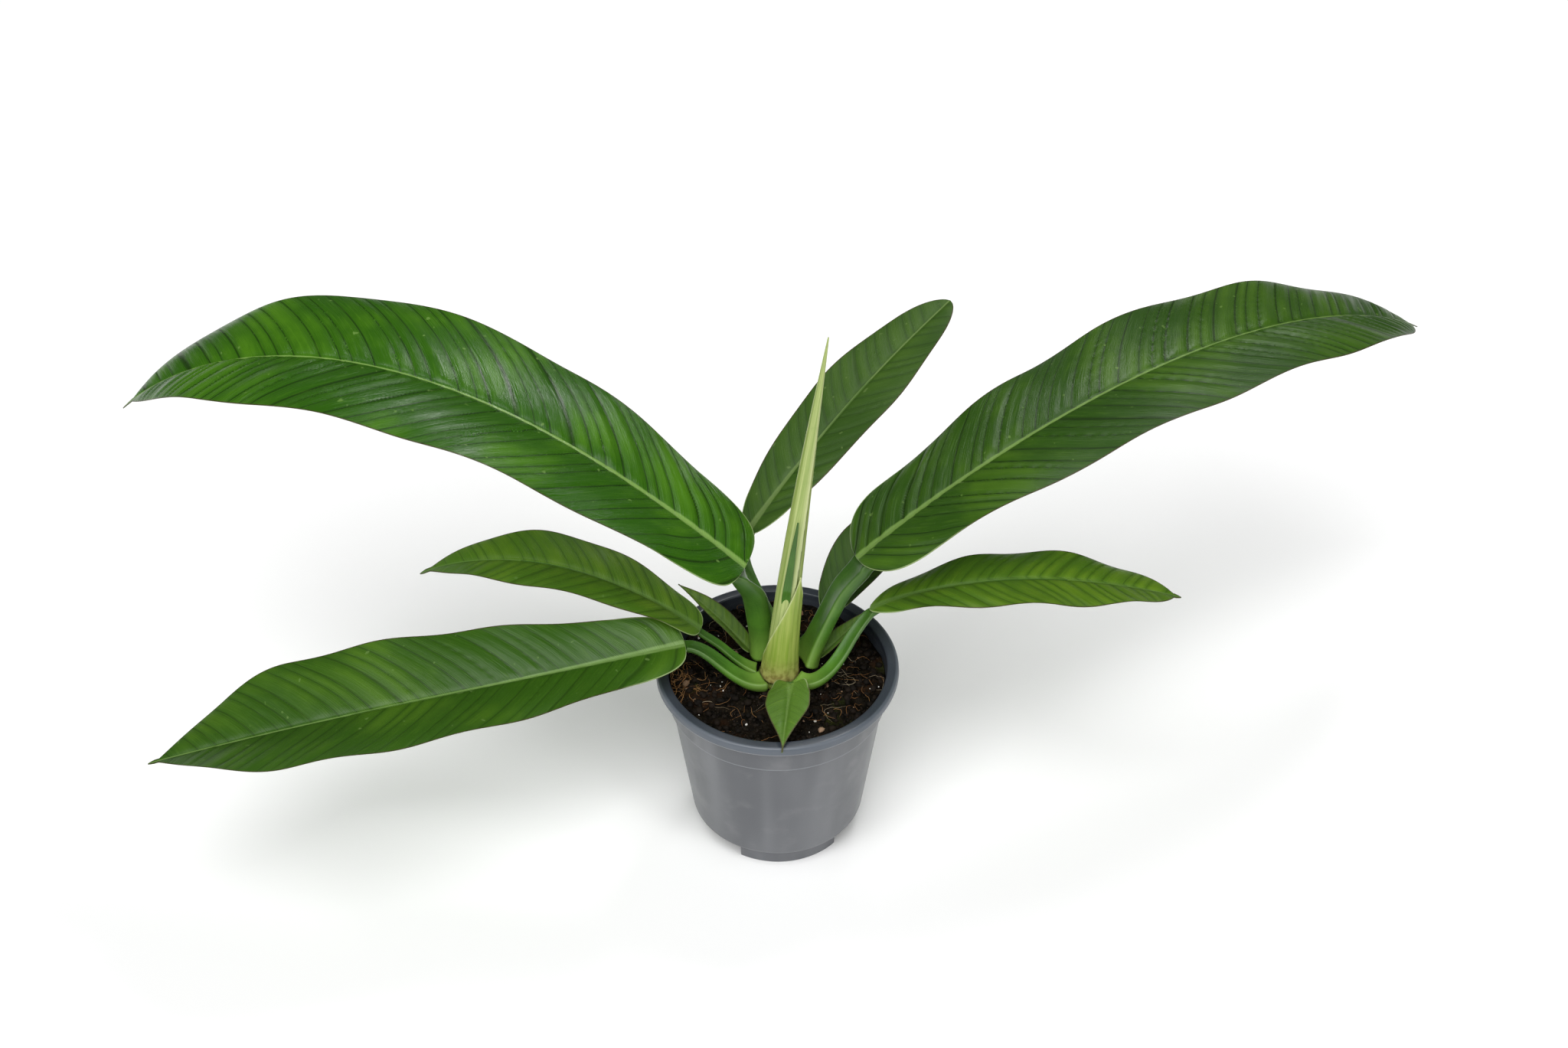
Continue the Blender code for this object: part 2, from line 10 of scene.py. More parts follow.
# %% Load the frame
import json
import math
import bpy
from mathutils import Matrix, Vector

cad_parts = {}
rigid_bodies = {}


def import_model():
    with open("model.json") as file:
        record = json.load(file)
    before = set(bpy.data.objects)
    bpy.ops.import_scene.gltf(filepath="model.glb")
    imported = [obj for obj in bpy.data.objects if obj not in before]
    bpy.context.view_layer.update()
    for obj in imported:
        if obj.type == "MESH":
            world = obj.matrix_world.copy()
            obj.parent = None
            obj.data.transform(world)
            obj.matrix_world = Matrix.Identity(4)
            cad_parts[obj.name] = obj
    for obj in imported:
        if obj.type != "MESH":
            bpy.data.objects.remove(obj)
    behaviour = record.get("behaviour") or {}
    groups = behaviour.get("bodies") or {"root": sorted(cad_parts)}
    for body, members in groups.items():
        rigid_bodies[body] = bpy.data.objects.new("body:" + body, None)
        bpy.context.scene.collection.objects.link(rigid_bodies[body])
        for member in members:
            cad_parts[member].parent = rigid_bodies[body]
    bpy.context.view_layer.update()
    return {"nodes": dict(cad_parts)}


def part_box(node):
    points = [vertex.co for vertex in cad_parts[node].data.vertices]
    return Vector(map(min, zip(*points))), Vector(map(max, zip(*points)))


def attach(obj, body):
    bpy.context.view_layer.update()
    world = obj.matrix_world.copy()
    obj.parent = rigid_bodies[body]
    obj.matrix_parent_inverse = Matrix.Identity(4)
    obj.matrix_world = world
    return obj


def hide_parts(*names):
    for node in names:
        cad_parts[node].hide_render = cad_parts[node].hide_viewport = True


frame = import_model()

from types import SimpleNamespace

import bpy
import numpy as np
from mathutils import Vector

MM = 0.001
print("pieces in the frame:", len(frame["nodes"]))

# %% [markdown]
# ## Places
#
# Nothing is placed by eye. The pot's axis, its rim, the soil's surface and the crown are all read
# from the frame's boxes, so that the plant still fits if one of them is changed.

# %% Read the places from the frame


def box_of(node):
    """The lowest and the highest corner of a piece of the frame, as arrays."""
    low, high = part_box(node)
    return np.array(low), np.array(high)


pot_low, pot_high = box_of("nursery_pot")
POT_AXIS = (pot_low + pot_high)[:2] / 2
RIM_RADIUS = (pot_high - pot_low)[0] / 2
RIM_Z = pot_high[2]
SOIL_Z = box_of("potting_soil")[1][2]
crown_low, crown_high = box_of("stem_crown")
CROWN_MIDDLE = (crown_low + crown_high)[:2] / 2
CROWN_RADIUS = (crown_high - crown_low)[0] / 2
CROWN_TOP = crown_high[2]
print("pot axis at", POT_AXIS.round(4), "rim radius", round(RIM_RADIUS, 4), "soil at", round(SOIL_Z, 4))

# %% [markdown]
# ## Camera and light
#
# A plant like this is pictured from above and in front, with a fairly long lens so that the near
# leaves don't swell. A leaf is a mirror of its surroundings: a bright surround would veil the green,
# so the surround is dim and the lamps do the work. One soft lamp stands behind and above, where the
# top of a level leaf mirrors it as white streaks; the others fill in. The floor is plain and pale.

# %% Camera, lights and floor
LENS_MM = 57.13
PITCH_DEG = 39.8
CAMERA_FROM_POT = (0.00325, -0.8982, 0.9399)
FLOOR_HALF = 60.0
FLOOR_WHITE = 0.93
SURROUND_STRENGTH = 0.10


def add_camera():
    data = bpy.data.cameras.new("camera")
    data.sensor_width = 36.0
    data.lens = LENS_MM
    camera = bpy.data.objects.new("camera", data)
    camera.location = np.array([*POT_AXIS, 0.0]) + CAMERA_FROM_POT
    camera.rotation_euler = (math.radians(90 - PITCH_DEG), 0.0, 0.0)
    bpy.context.scene.collection.objects.link(camera)
    bpy.context.scene.camera = camera


def add_lamp(name, place, size, power):
    """A square soft lamp at this place that faces the plant."""
    data = bpy.data.lights.new(name, "AREA")
    data.size = size
    data.energy = power
    lamp = bpy.data.objects.new(name, data)
    lamp.location = place
    toward = Vector((0.0, 0.0, 0.15)) - Vector(place)
    lamp.rotation_euler = toward.to_track_quat("-Z", "Y").to_euler()
    bpy.context.scene.collection.objects.link(lamp)


def add_overhead(strength):
    """A wide even light from the ceiling, which is equally strong all over the floor."""
    data = bpy.data.lights.new("overhead", "SUN")
    data.angle = math.radians(50)
    data.energy = strength
    lamp = bpy.data.objects.new("overhead", data)
    lamp.rotation_euler = (math.radians(30), math.radians(-6), 0.0)
    bpy.context.scene.collection.objects.link(lamp)


def add_floor():
    corners = [(x * FLOOR_HALF, y * FLOOR_HALF, 0) for x, y in ((-1, -1), (1, -1), (1, 1), (-1, 1))]
    mesh = bpy.data.meshes.new("studio_floor")
    mesh.from_pydata(corners, [], [(0, 1, 2, 3)])
    floor = bpy.data.objects.new("studio_floor", mesh)
    paint = bpy.data.materials.new("pale_floor")
    paint.use_nodes = True
    shader = paint.node_tree.nodes["Principled BSDF"]
    shader.inputs["Base Color"].default_value = (FLOOR_WHITE, FLOOR_WHITE, FLOOR_WHITE, 1.0)
    shader.inputs["Roughness"].default_value = 0.9
    mesh.materials.append(paint)
    bpy.context.scene.collection.objects.link(floor)


add_camera()
add_overhead(2.7)
add_lamp("back_softbox", (0.34, 0.74, 1.50), 0.42, 8.0)
add_lamp("left_softbox", (-1.5, -1.2, 1.1), 0.8, 11.0)
add_lamp("right_softbox", (1.4, -1.3, 0.9), 0.6, 9.0)
world = bpy.data.worlds.new("white_tent")
world.use_nodes = True
surround = world.node_tree.nodes["Background"]
surround.inputs["Color"].default_value = (1.0, 1.0, 1.0, 1.0)
surround.inputs["Strength"].default_value = SURROUND_STRENGTH
bpy.context.scene.world = world
bpy.context.scene.view_settings.view_transform = "Standard"
add_floor()
print("camera, four lamps and a floor")

# %% [markdown]
# ## A grid of points becomes a surface
#
# Leaves, stalks, the pot and the soil are all grids: rows along the piece and columns round or
# across it. Making the grid as one array is quick, and the same few lines then turn any of them
# into a mesh. A column that joins back to the first makes a tube, and a fan of triangles at each
# end closes it. Each point can carry numbers of its own, such as its distance from the margin,
# which the finish reads later to draw veins and edges exactly where they grow.

# %% Grid to mesh


def mesh_from(name, points, quads, triangles, fields):
    """A smooth mesh from arrays of corners, four-sided faces and triangles, with a number per point
    for each field."""
    mesh = bpy.data.meshes.new(name)
    mesh.vertices.add(len(points))
    mesh.vertices.foreach_set("co", np.ascontiguousarray(points, np.float32).reshape(-1))
    corners = np.concatenate([quads.reshape(-1), triangles.reshape(-1)]).astype(np.int32)
    sizes = np.concatenate([np.full(len(quads), 4), np.full(len(triangles), 3)])
    mesh.loops.add(len(corners))
    mesh.loops.foreach_set("vertex_index", corners)
    mesh.polygons.add(len(sizes))
    starts = np.concatenate([[0], np.cumsum(sizes)[:-1]]).astype(np.int32)
    mesh.polygons.foreach_set("loop_start", starts)
    mesh.update(calc_edges=True)
    mesh.shade_smooth()
    for field, values in fields.items():
        layer = mesh.attributes.new(field, "FLOAT", "POINT")
        layer.data.foreach_set("value", np.ascontiguousarray(values, np.float32).reshape(-1))
    return mesh


def all_round(columns):
    """Evenly spaced angles once round, without the last one, which is the first again."""
    return np.linspace(0.0, 2 * np.pi, columns, endpoint=False)


def ring(turn):
    """The level way of length one at each angle."""
    return np.stack([np.cos(turn), np.sin(turn), 0 * turn], -1)


def turned(middle, out, turn, height):
    """Points this far out from an upright axis through middle, at each turn and height."""
    level = middle[0] + out * np.cos(turn), middle[1] + out * np.sin(turn)
    return np.stack(np.broadcast_arrays(*level, height), -1)


def wrapped_faces(rows, columns):
    """The faces of a grid whose last column joins the first: the points' numbers with the first
    column given again at the end, the four-sided faces, and the triangles that close each end
    with a fan to one further point."""
    number = np.arange(rows * columns).reshape(rows, columns)
    number = np.hstack([number, number[:, :1]])
    quads = np.stack([number[:-1, :-1], number[:-1, 1:], number[1:, 1:], number[1:, :-1]], -1)
    low_end = np.full(columns, rows * columns)
    fans = np.concatenate([
        np.stack([low_end, number[0, 1:], number[0, :-1]], -1),
        np.stack([low_end + 1, number[-1, :-1], number[-1, 1:]], -1),
    ])
    return number, quads.reshape(-1, 4), fans


def grid_mesh(name, points, fields):
    """A closed tube from rows x columns of points: the last column joins the first, and a fan to a
    middle point closes the first and the last row. Columns run right-handed about the rows' way."""
    _, quads, fans = wrapped_faces(*points.shape[:2])
    every = np.vstack([points.reshape(-1, 3), points[0].mean(0), points[-1].mean(0)])
    filled = {
        field: np.concatenate([values.reshape(-1), [values[0].mean(), values[-1].mean()]])
        for field, values in fields.items()
    }
    return mesh_from(name, every, quads, fans, filled)


def add_piece(name, mesh, finish, slot, *stands_for):
    """Puts a finished mesh in the scene, on the plant's one body."""
    mesh.materials.append(finish)
    piece = bpy.data.objects.new(name, mesh)
    bpy.context.scene.collection.objects.link(piece)
    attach(piece, "root")
    if stands_for:
        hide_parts(*stands_for)
    print(f"{name}: {len(mesh.polygons)} faces")
    return piece


# %% [markdown]
# ## Irregularity
#
# A grown or crumbly thing is never even. This is value noise: a random height at every whole-number
# corner of space, blended smoothly between the corners. The same seed always gives the same heights.

# %% Noise as arrays
NOISE_SIZE = 4096
NOISE_TABLE = np.random.default_rng(11).random(NOISE_SIZE) * 2 - 1


def value_noise(points, seed):
    """Heights from -1 to 1 at an array of points: the eight corners round each point, each weighted
    by how near it is on a smooth curve."""
    cell = np.floor(points).astype(np.int64)
    share = points - cell
    share = share * share * (3 - 2 * share)
    total = 0.0
    for corner in np.ndindex(2, 2, 2):
        at = cell + np.array(corner)
        key = at[..., 0] * 73856093 ^ at[..., 1] * 19349663 ^ at[..., 2] * 83492791 ^ seed * 2654435761
        weight = np.prod(np.where(corner, share, 1 - share), axis=-1)
        total = total + weight * NOISE_TABLE[key % NOISE_SIZE]
    return total


def rough(points, size, octaves, seed):
    """Noise of this size with finer noise of half the size and half the height added on."""
    return sum(value_noise(points * (2**o / size), seed + o) / 2**o for o in range(octaves))


# %% [markdown]
# ## Finishes are small formulas
#
# A finish is a web of nodes. These helpers let it be written as a formula: take a field of the
# mesh, take some noise, compare, blend two colours. Everything that varies is driven by a field or
# by the object's own coordinates, so that the finish sits still on the surface from every side.

# %% Node helpers


def put(tree, kind, inputs, **settings):
    """Adds a node, sets it, and either links or sets each of its inputs."""
    node = tree.nodes.new(kind)
    for key, value in settings.items():
        setattr(node, key, value)
    for key, value in inputs.items():
        if isinstance(value, bpy.types.NodeSocket):
            tree.links.new(value, node.inputs[key])
        else:
            node.inputs[key].default_value = value
    return node


def field(tree, name):
    """The number that each point of the mesh carries under this name."""
    return put(tree, "ShaderNodeAttribute", {}, attribute_name=name).outputs["Fac"]


def own_place(tree):
    """The object's own coordinates."""
    return put(tree, "ShaderNodeTexCoord", {}).outputs["Object"]


def maths(operation, first, second=0.0):
    """One step of arithmetic on a socket. Its tree is found from the socket, as it is below."""
    return put(first.id_data, "ShaderNodeMath", {0: first, 1: second}, operation=operation).outputs[0]


def times(first, second):
    return maths("MULTIPLY", first, second)


def plus(first, second):
    return maths("ADD", first, second)


def inverse(share):
    """One less the share."""
    return put(share.id_data, "ShaderNodeMath", {0: 1.0, 1: share}, operation="SUBTRACT").outputs[0]


def fade(value, start, end):
    """0 where value is at start, 1 where it is at end, and a smooth curve between."""
    inputs = {"Value": value, "From Min": start, "From Max": end}
    node = put(value.id_data, "ShaderNodeMapRange", inputs, interpolation_type="SMOOTHSTEP")
    return node.outputs["Result"]


def noise(place, scale, detail=3.0):
    inputs = {"Vector": place, "Scale": scale, "Detail": detail}
    return put(place.id_data, "ShaderNodeTexNoise", inputs).outputs["Fac"]


def lengthwise(across, along):
    """Noise on a place made of two numbers, so that it can be drawn out along one of them."""
    place = put(across.id_data, "ShaderNodeCombineXYZ", {"X": across, "Y": along})
    return noise(place.outputs["Vector"], 1.0)


def blend(share, first, second):
    """The first colour where share is 0 and the second where it is 1."""
    node = put(share.id_data, "ShaderNodeMix", {0: share}, data_type="RGBA")
    for socket, value in ((node.inputs[6], first), (node.inputs[7], second)):
        if isinstance(value, bpy.types.NodeSocket):
            share.id_data.links.new(value, socket)
        else:
            socket.default_value = (*value, 1.0)
    return node.outputs[2]


def over(color, share, strength, laid):
    """The colour laid over another where share is high, and never by more than strength."""
    return blend(times(share, strength), color, laid)


def new_finish(name, roughness, specular=0.5, coat=0.0):
    """A material whose even values sit on the shader's own sockets; gives it, its tree and shader."""
    material = bpy.data.materials.new(name)
    material.use_nodes = True
    shader = material.node_tree.nodes["Principled BSDF"]
    even = {"Roughness": roughness, "Specular IOR Level": specular, "Coat Weight": coat}
    for socket, value in {**even, "Coat Roughness": 0.2}.items():
        shader.inputs[socket].default_value = value
    return material, material.node_tree, shader


def paint(shader, color, roughness=None):
    """Gives the shader a colour, and a roughness where that varies too."""
    for socket, value in (("Base Color", color), ("Roughness", roughness)):
        if value:
            value.id_data.links.new(value, shader.inputs[socket])


def bump(shader, height, strength, distance):
    inputs = {"Height": height, "Strength": strength, "Distance": distance}
    node = put(height.id_data, "ShaderNodeBump", inputs)
    height.id_data.links.new(node.outputs["Normal"], shader.inputs["Normal"])


print("helpers ready")

# %% [markdown]
# ## The leaf's finish
#
# The top of a leaf is a deep green with a wet gloss. Between the veins the green is painted
# lighter, a painted highlight where the sheet swells, mixed with random patches; in the sunk veins it
# is painted darker, a painted shade in the creases. It has a pale midrib and a hair-thin edge: pale
# beside the stalk and brown-purple further out. The underside is paler and duller. The mesh carries
# how far each point is from the midrib and from the margin in millimetres, and a count that goes up
# by one at each side vein, so that thin crisp lines can be drawn without a very fine mesh. The gloss
# is streaky because fine grooves run with the veins.

# %% Leaf finish
EDGE_LINE = 0.5  # millimetres
EDGE_BY_STALK = (0.30, 0.38, 0.17)
EDGE_BEYOND = (0.055, 0.028, 0.018)


def leaf_finish(name, deep, bright, rib, gloss, painted_vein_shade_strength, rib_strength=0.8):
    """Green with a painted highlight between the veins and painted shade in them, a rib, an edge, and
    streaky gloss.
    """
    material, tree, shader = new_finish(name, gloss, specular=0.32)
    vein = field(tree, "vein")
    from_rib = field(tree, "rib_mm")
    from_edge = field(tree, "edge_mm")
    along = field(tree, "along")
    under = field(tree, "under")
    place = own_place(tree)
    to_vein = maths("PINGPONG", vein, 0.5)
    patches = fade(noise(place, 22.0, 5.0), 0.38, 0.66)
    # Lighter between the veins: a painted highlight where the sheet swells, times random patches of
    # tone.
    between = fade(to_vein, 0.04, 0.45)
    painted_highlight_between_veins = maths("MULTIPLY_ADD", between, 0.45)
    painted_highlight_between_veins.node.inputs[2].default_value = 0.25
    color = blend(times(painted_highlight_between_veins, patches), deep, bright)
    # Darker in the veins: painted shade in the sunk creases.
    painted_vein_shade = inverse(fade(to_vein, 0.01, 0.085))
    darker = tuple(0.30 * channel for channel in deep)
    color = over(color, painted_vein_shade, painted_vein_shade_strength, darker)
    across_veins = times(vein, 17.0)
    along_veins = times(from_rib, 0.10)
    streaks = lengthwise(across_veins, along_veins)
    color = over(color, fade(streaks, 0.50, 0.78), 0.40, bright)
    flecks = fade(noise(place, 260.0, 1.0), 0.735, 0.79)
    color = over(color, flecks, 0.45, rib)
    toward_foot = maths("POWER", inverse(along), 4.0)
    rib_width = plus(times(toward_foot, 1.7), 0.50)
    on_rib = inverse(fade(maths("DIVIDE", from_rib, rib_width), 0.6, 1.2))
    color = over(color, on_rib, rib_strength, rib)
    on_edge = inverse(fade(from_edge, EDGE_LINE * 0.5, EDGE_LINE * 1.4))
    edge_color = blend(fade(along, 0.08, 0.16), EDGE_BY_STALK, EDGE_BEYOND)
    color = over(color, on_edge, 0.80, edge_color)
    pale = tuple(1.6 * channel for channel in deep)
    color = blend(under, color, blend(patches, pale, bright))
    wear = times(noise(place, 55.0), 0.16)
    wet = plus(times(streaks, 0.20), plus(wear, gloss - 0.18))
    paint(shader, color, plus(wet, times(under, 0.25)))
    grain = noise(place, 900.0, 2.0)
    height = plus(streaks, times(grain, 0.22))
    bump(shader, height, 0.60, 0.0004)
    return material


DEEP_LEAF = leaf_finish(
    "deep_green_leaf", (0.021, 0.086, 0.002), (0.070, 0.195, 0.006),
    (0.20, 0.34, 0.08), 0.28, 0.85,
)
DARK_LEAF = leaf_finish(
    "dark_green_leaf", (0.018, 0.059, 0.002), (0.058, 0.135, 0.006),
    (0.16, 0.27, 0.06), 0.40, 0.75,
)
LOW_LEAF = leaf_finish(
    "soft_green_leaf", (0.028, 0.086, 0.004), (0.070, 0.160, 0.008),
    (0.16, 0.27, 0.07), 0.44, 0.50,
)
BACK_LEAF = leaf_finish(
    "dull_green_leaf", (0.022, 0.062, 0.003), (0.046, 0.104, 0.006),
    (0.12, 0.19, 0.05), 0.55, 0.35,
)
FRESH_LEAF = leaf_finish(
    "fresh_green_leaf", (0.048, 0.122, 0.006), (0.130, 0.235, 0.012),
    (0.12, 0.22, 0.05), 0.46, 0.40, 0.55,
)
YOUNG_LEAF = leaf_finish(
    "young_green_leaf", (0.070, 0.150, 0.016), (0.150, 0.260, 0.022),
    (0.16, 0.26, 0.06), 0.46, 0.20, 0.35,
)
print("six leaf greens")

# %% [markdown]
# ## A leaf blade
#
# A blade is a sheet laid along its midrib. The midrib sets off at one slope and bends as it goes.
# The outline is a round shoulder by the stalk, a slow growth and a taper, which is how a strap leaf
# grows. Each half is lifted a little by the fold along the midrib and arches between rib and margin.
# Side veins are sunk, the sheet swells between them, and the margin waves. All of that is added as
# real height. The sheet then gets an underside, so that it is a thin closed shell.

# %% Blade formulas
LOBE_SPAN = 0.12
RIB_BLUR = 0.04
DRIP_SHARE = 0.955  # of the taper: the last bit is the thin drip tip
DRIP_HALF = 1.6 * MM


def blade(**numbers):
    """One blade's numbers: those given, and the plain ones for the rest."""
    plain = dict(sweep=0, late=1.0, roll=0, twist=0, lobe=0.0, drip=DRIP_HALF, thickness=0.5 * MM)
    return SimpleNamespace(**{**plain, **numbers})


def ways(leaf, u):
    """The midrib's points and the ways ahead, across and up at each share u of the length: the
    slope is rise plus bend times u to a power, and the points are its running sum."""
    turn = np.radians(leaf.heading + leaf.sweep * u)
    slope = np.radians(leaf.rise + leaf.bend * u**leaf.late)
    ahead = np.stack([np.cos(slope) * np.cos(turn), np.cos(slope) * np.sin(turn), np.sin(slope)], -1)
    steps = (ahead[1:] + ahead[:-1]) / 2 * np.diff(u)[:, None] * leaf.length
    middle = np.vstack([np.zeros(3), np.cumsum(steps, axis=0)])
    across = np.cross([0.0, 0.0, 1.0], ahead)
    across /= np.linalg.norm(across, axis=1)[:, None]
    up = np.cross(ahead, across)
    roll = np.radians(leaf.roll + leaf.twist * u)[:, None]
    tipped = np.cos(roll) * across + np.sin(roll) * up
    return middle, ahead, tipped, np.cos(roll) * up - np.sin(roll) * across


def outline(leaf, u):
    """Half the blade's width: a quarter circle at the shoulder, a slow growth and a taper, with a
    thin drip tip at the end where there is one."""
    near = np.minimum(u / leaf.shoulder, 1.0)
    grown = np.sin(np.pi / 2 * np.minimum(u / leaf.taper_start, 1.0))
    far = np.maximum(u - leaf.taper_start, 0.0) / (1 - leaf.taper_start)
    reach = DRIP_SHARE if leaf.drip else 1.0
    taper = (1 - np.minimum(far / reach, 1.0) ** leaf.taper_power) ** leaf.tip_power
    growth = leaf.start + (1 - leaf.start) * grown
    half = leaf.width / 2 * np.sqrt(1 - (1 - near) ** 2) * growth * taper
    tip = leaf.drip * np.sqrt(np.maximum(1 - far, 0.0) / (1 - DRIP_SHARE + 1e-9)).clip(0, 1)
    return np.maximum(half, np.maximum(tip * (far > 0.5), 0.4 * MM))


def vein_count(leaf, x, y, side):
    """A number that passes a whole number at each side vein. A vein leaves the rib at about fifty
    degrees, or more sharply by the stalk, and bends towards the tip. The spacing wanders, and the
    two sides don't match."""
    reach = leaf.width / 2
    out = y / reach
    lean = 1 + 0.45 * np.exp(-x / (0.10 * leaf.length))
    start = (x - lean * reach * (0.66 * out + 0.30 * out**2)) / leaf.vein_gap
    wander = 0.22 * np.sin(1.9 * start + leaf.seed) + 0.09 * np.sin(4.7 * start + 2.0 * leaf.seed)
    return start + wander + 0.43 * (side > 0)


def blade_shape(leaf):
    """The blade's sheet as two grids, top and underside, with the fields that the finish reads.
    The middle sheet is the midrib plus the half width across, drawn back beside the stalk and
    lifted by the fold; the relief is added along the way up."""
    t = np.linspace(0.0, 1.0, leaf.rows)
    u = 0.6 * t + 0.4 * (1 - np.cos(np.pi * t)) / 2
    v = np.sin(np.linspace(np.pi / 2, -np.pi / 2, leaf.columns))
    middle, ahead, across, up = (part[:, None, :] for part in ways(leaf, u))
    half = outline(leaf, u)[:, None]
    size = np.abs(v)[None, :]
    lifted = np.sqrt(v[None, :] ** 2 + RIB_BLUR**2) - RIB_BLUR
    fold = math.radians(leaf.fold)
    back = size * leaf.lobe * np.sin(np.pi * np.minimum(u / LOBE_SPAN, 1.0))[:, None]
    plain = middle - back[..., None] * ahead
    plain = plain + (half * v[None, :] * math.cos(fold))[..., None] * across
    plain = plain + (half * lifted * math.sin(fold))[..., None] * up
    x = (u * leaf.length)[:, None] + 0 * size
    y = half * size
    side = np.sign(v)[None, :] + 0 * y
    vein = vein_count(leaf, x, y, side)
    to_vein = np.abs(vein - np.round(vein))
    calm = (1 - size**4) * (1 - np.exp(-((y / (2.2 * MM)) ** 2)))
    open_width = np.clip(half / (0.35 * leaf.width), 0, 1)
    depth = 0.7 + 0.5 * value_noise(np.stack([vein * 0.9, side, x * 0 + leaf.seed], -1), leaf.seed)
    swell = leaf.relief * depth * (1 - (1 - 2 * to_vein) ** 2.5) * calm * open_width
    sunk = -0.85 * leaf.relief * depth * np.exp(-((to_vein / 0.06) ** 2)) * calm * open_width
    between = 0.16 * leaf.relief * np.cos(6 * np.pi * vein) * calm * open_width
    foot = np.exp(-((x / (0.16 * leaf.length)) ** 2))
    rib = (0.6 * foot - 0.7 * (1 - foot)) * MM * np.exp(-((y / ((1.1 + foot) * MM)) ** 2)) * open_width
    arch = leaf.arch * half * (size - size**2)
    phase = 2 * np.pi * x / leaf.wave_length + leaf.seed + 1.7 * side
    wave = leaf.wave * size**3 * np.sin(phase) * open_width
    uneven = 0.5 * leaf.wave * rough(plain, 0.045, 2, leaf.seed) * size * open_width
    relief = swell + sunk + between + rib + arch + wave + uneven
    thick = leaf.thickness * (0.3 + 0.7 * np.sqrt(1 - size**2)) / 2
    top = plain + (relief + thick)[..., None] * up
    under = plain + (relief - thick)[..., None] * up
    fields = {
        "rib_mm": y / MM,
        "edge_mm": (half - y) / MM,
        "vein": vein,
        "along": x / leaf.length,
    }
    return plain, top, under, fields


def seat(plain, node):
    """Gives the move that carries the plain sheet's box onto the frame's box of this piece."""
    low, high = box_of(node)
    have_low = plain.min(axis=(0, 1))
    have_high = plain.max(axis=(0, 1))
    stretch = (high - low) / (have_high - have_low)
    return lambda points: low + (points - have_low) * stretch


def shell_mesh(name, top, under, fields, place):
    """Top and underside as one closed grid: over the top, round the margin and back beneath."""
    points = place(np.concatenate([top, under[:, ::-1]], axis=1))
    both = {key: np.concatenate([values, values[:, ::-1]], axis=1) for key, values in fields.items()}
    both["under"] = np.concatenate([np.zeros(top.shape[:2]), np.ones(under.shape[:2])], axis=1)
    return grid_mesh(name, points, both)


PLACES = {}


def make_blade(leaf_name, node, piece_name, slot, leaf):
    """Shapes a blade and seats it on the frame's piece. The move that seats it is kept."""
    plain, top, under, fields = blade_shape(leaf)
    PLACES[leaf_name] = seat(plain, node)
    mesh = shell_mesh(node, top, under, fields, PLACES[leaf_name])
    add_piece(piece_name, mesh, leaf.finish, slot, node)


# %% [markdown]
# ### The seven stalked leaves
#
# The same numbers that shaped the frame's plain blades shape the fine ones: where each sets off,
# how it bends, how long and wide it is. Added here are what only the fine surface has: how far its
# veins are apart, how deep the relief is, how much the margin waves, and how finely it is divided.

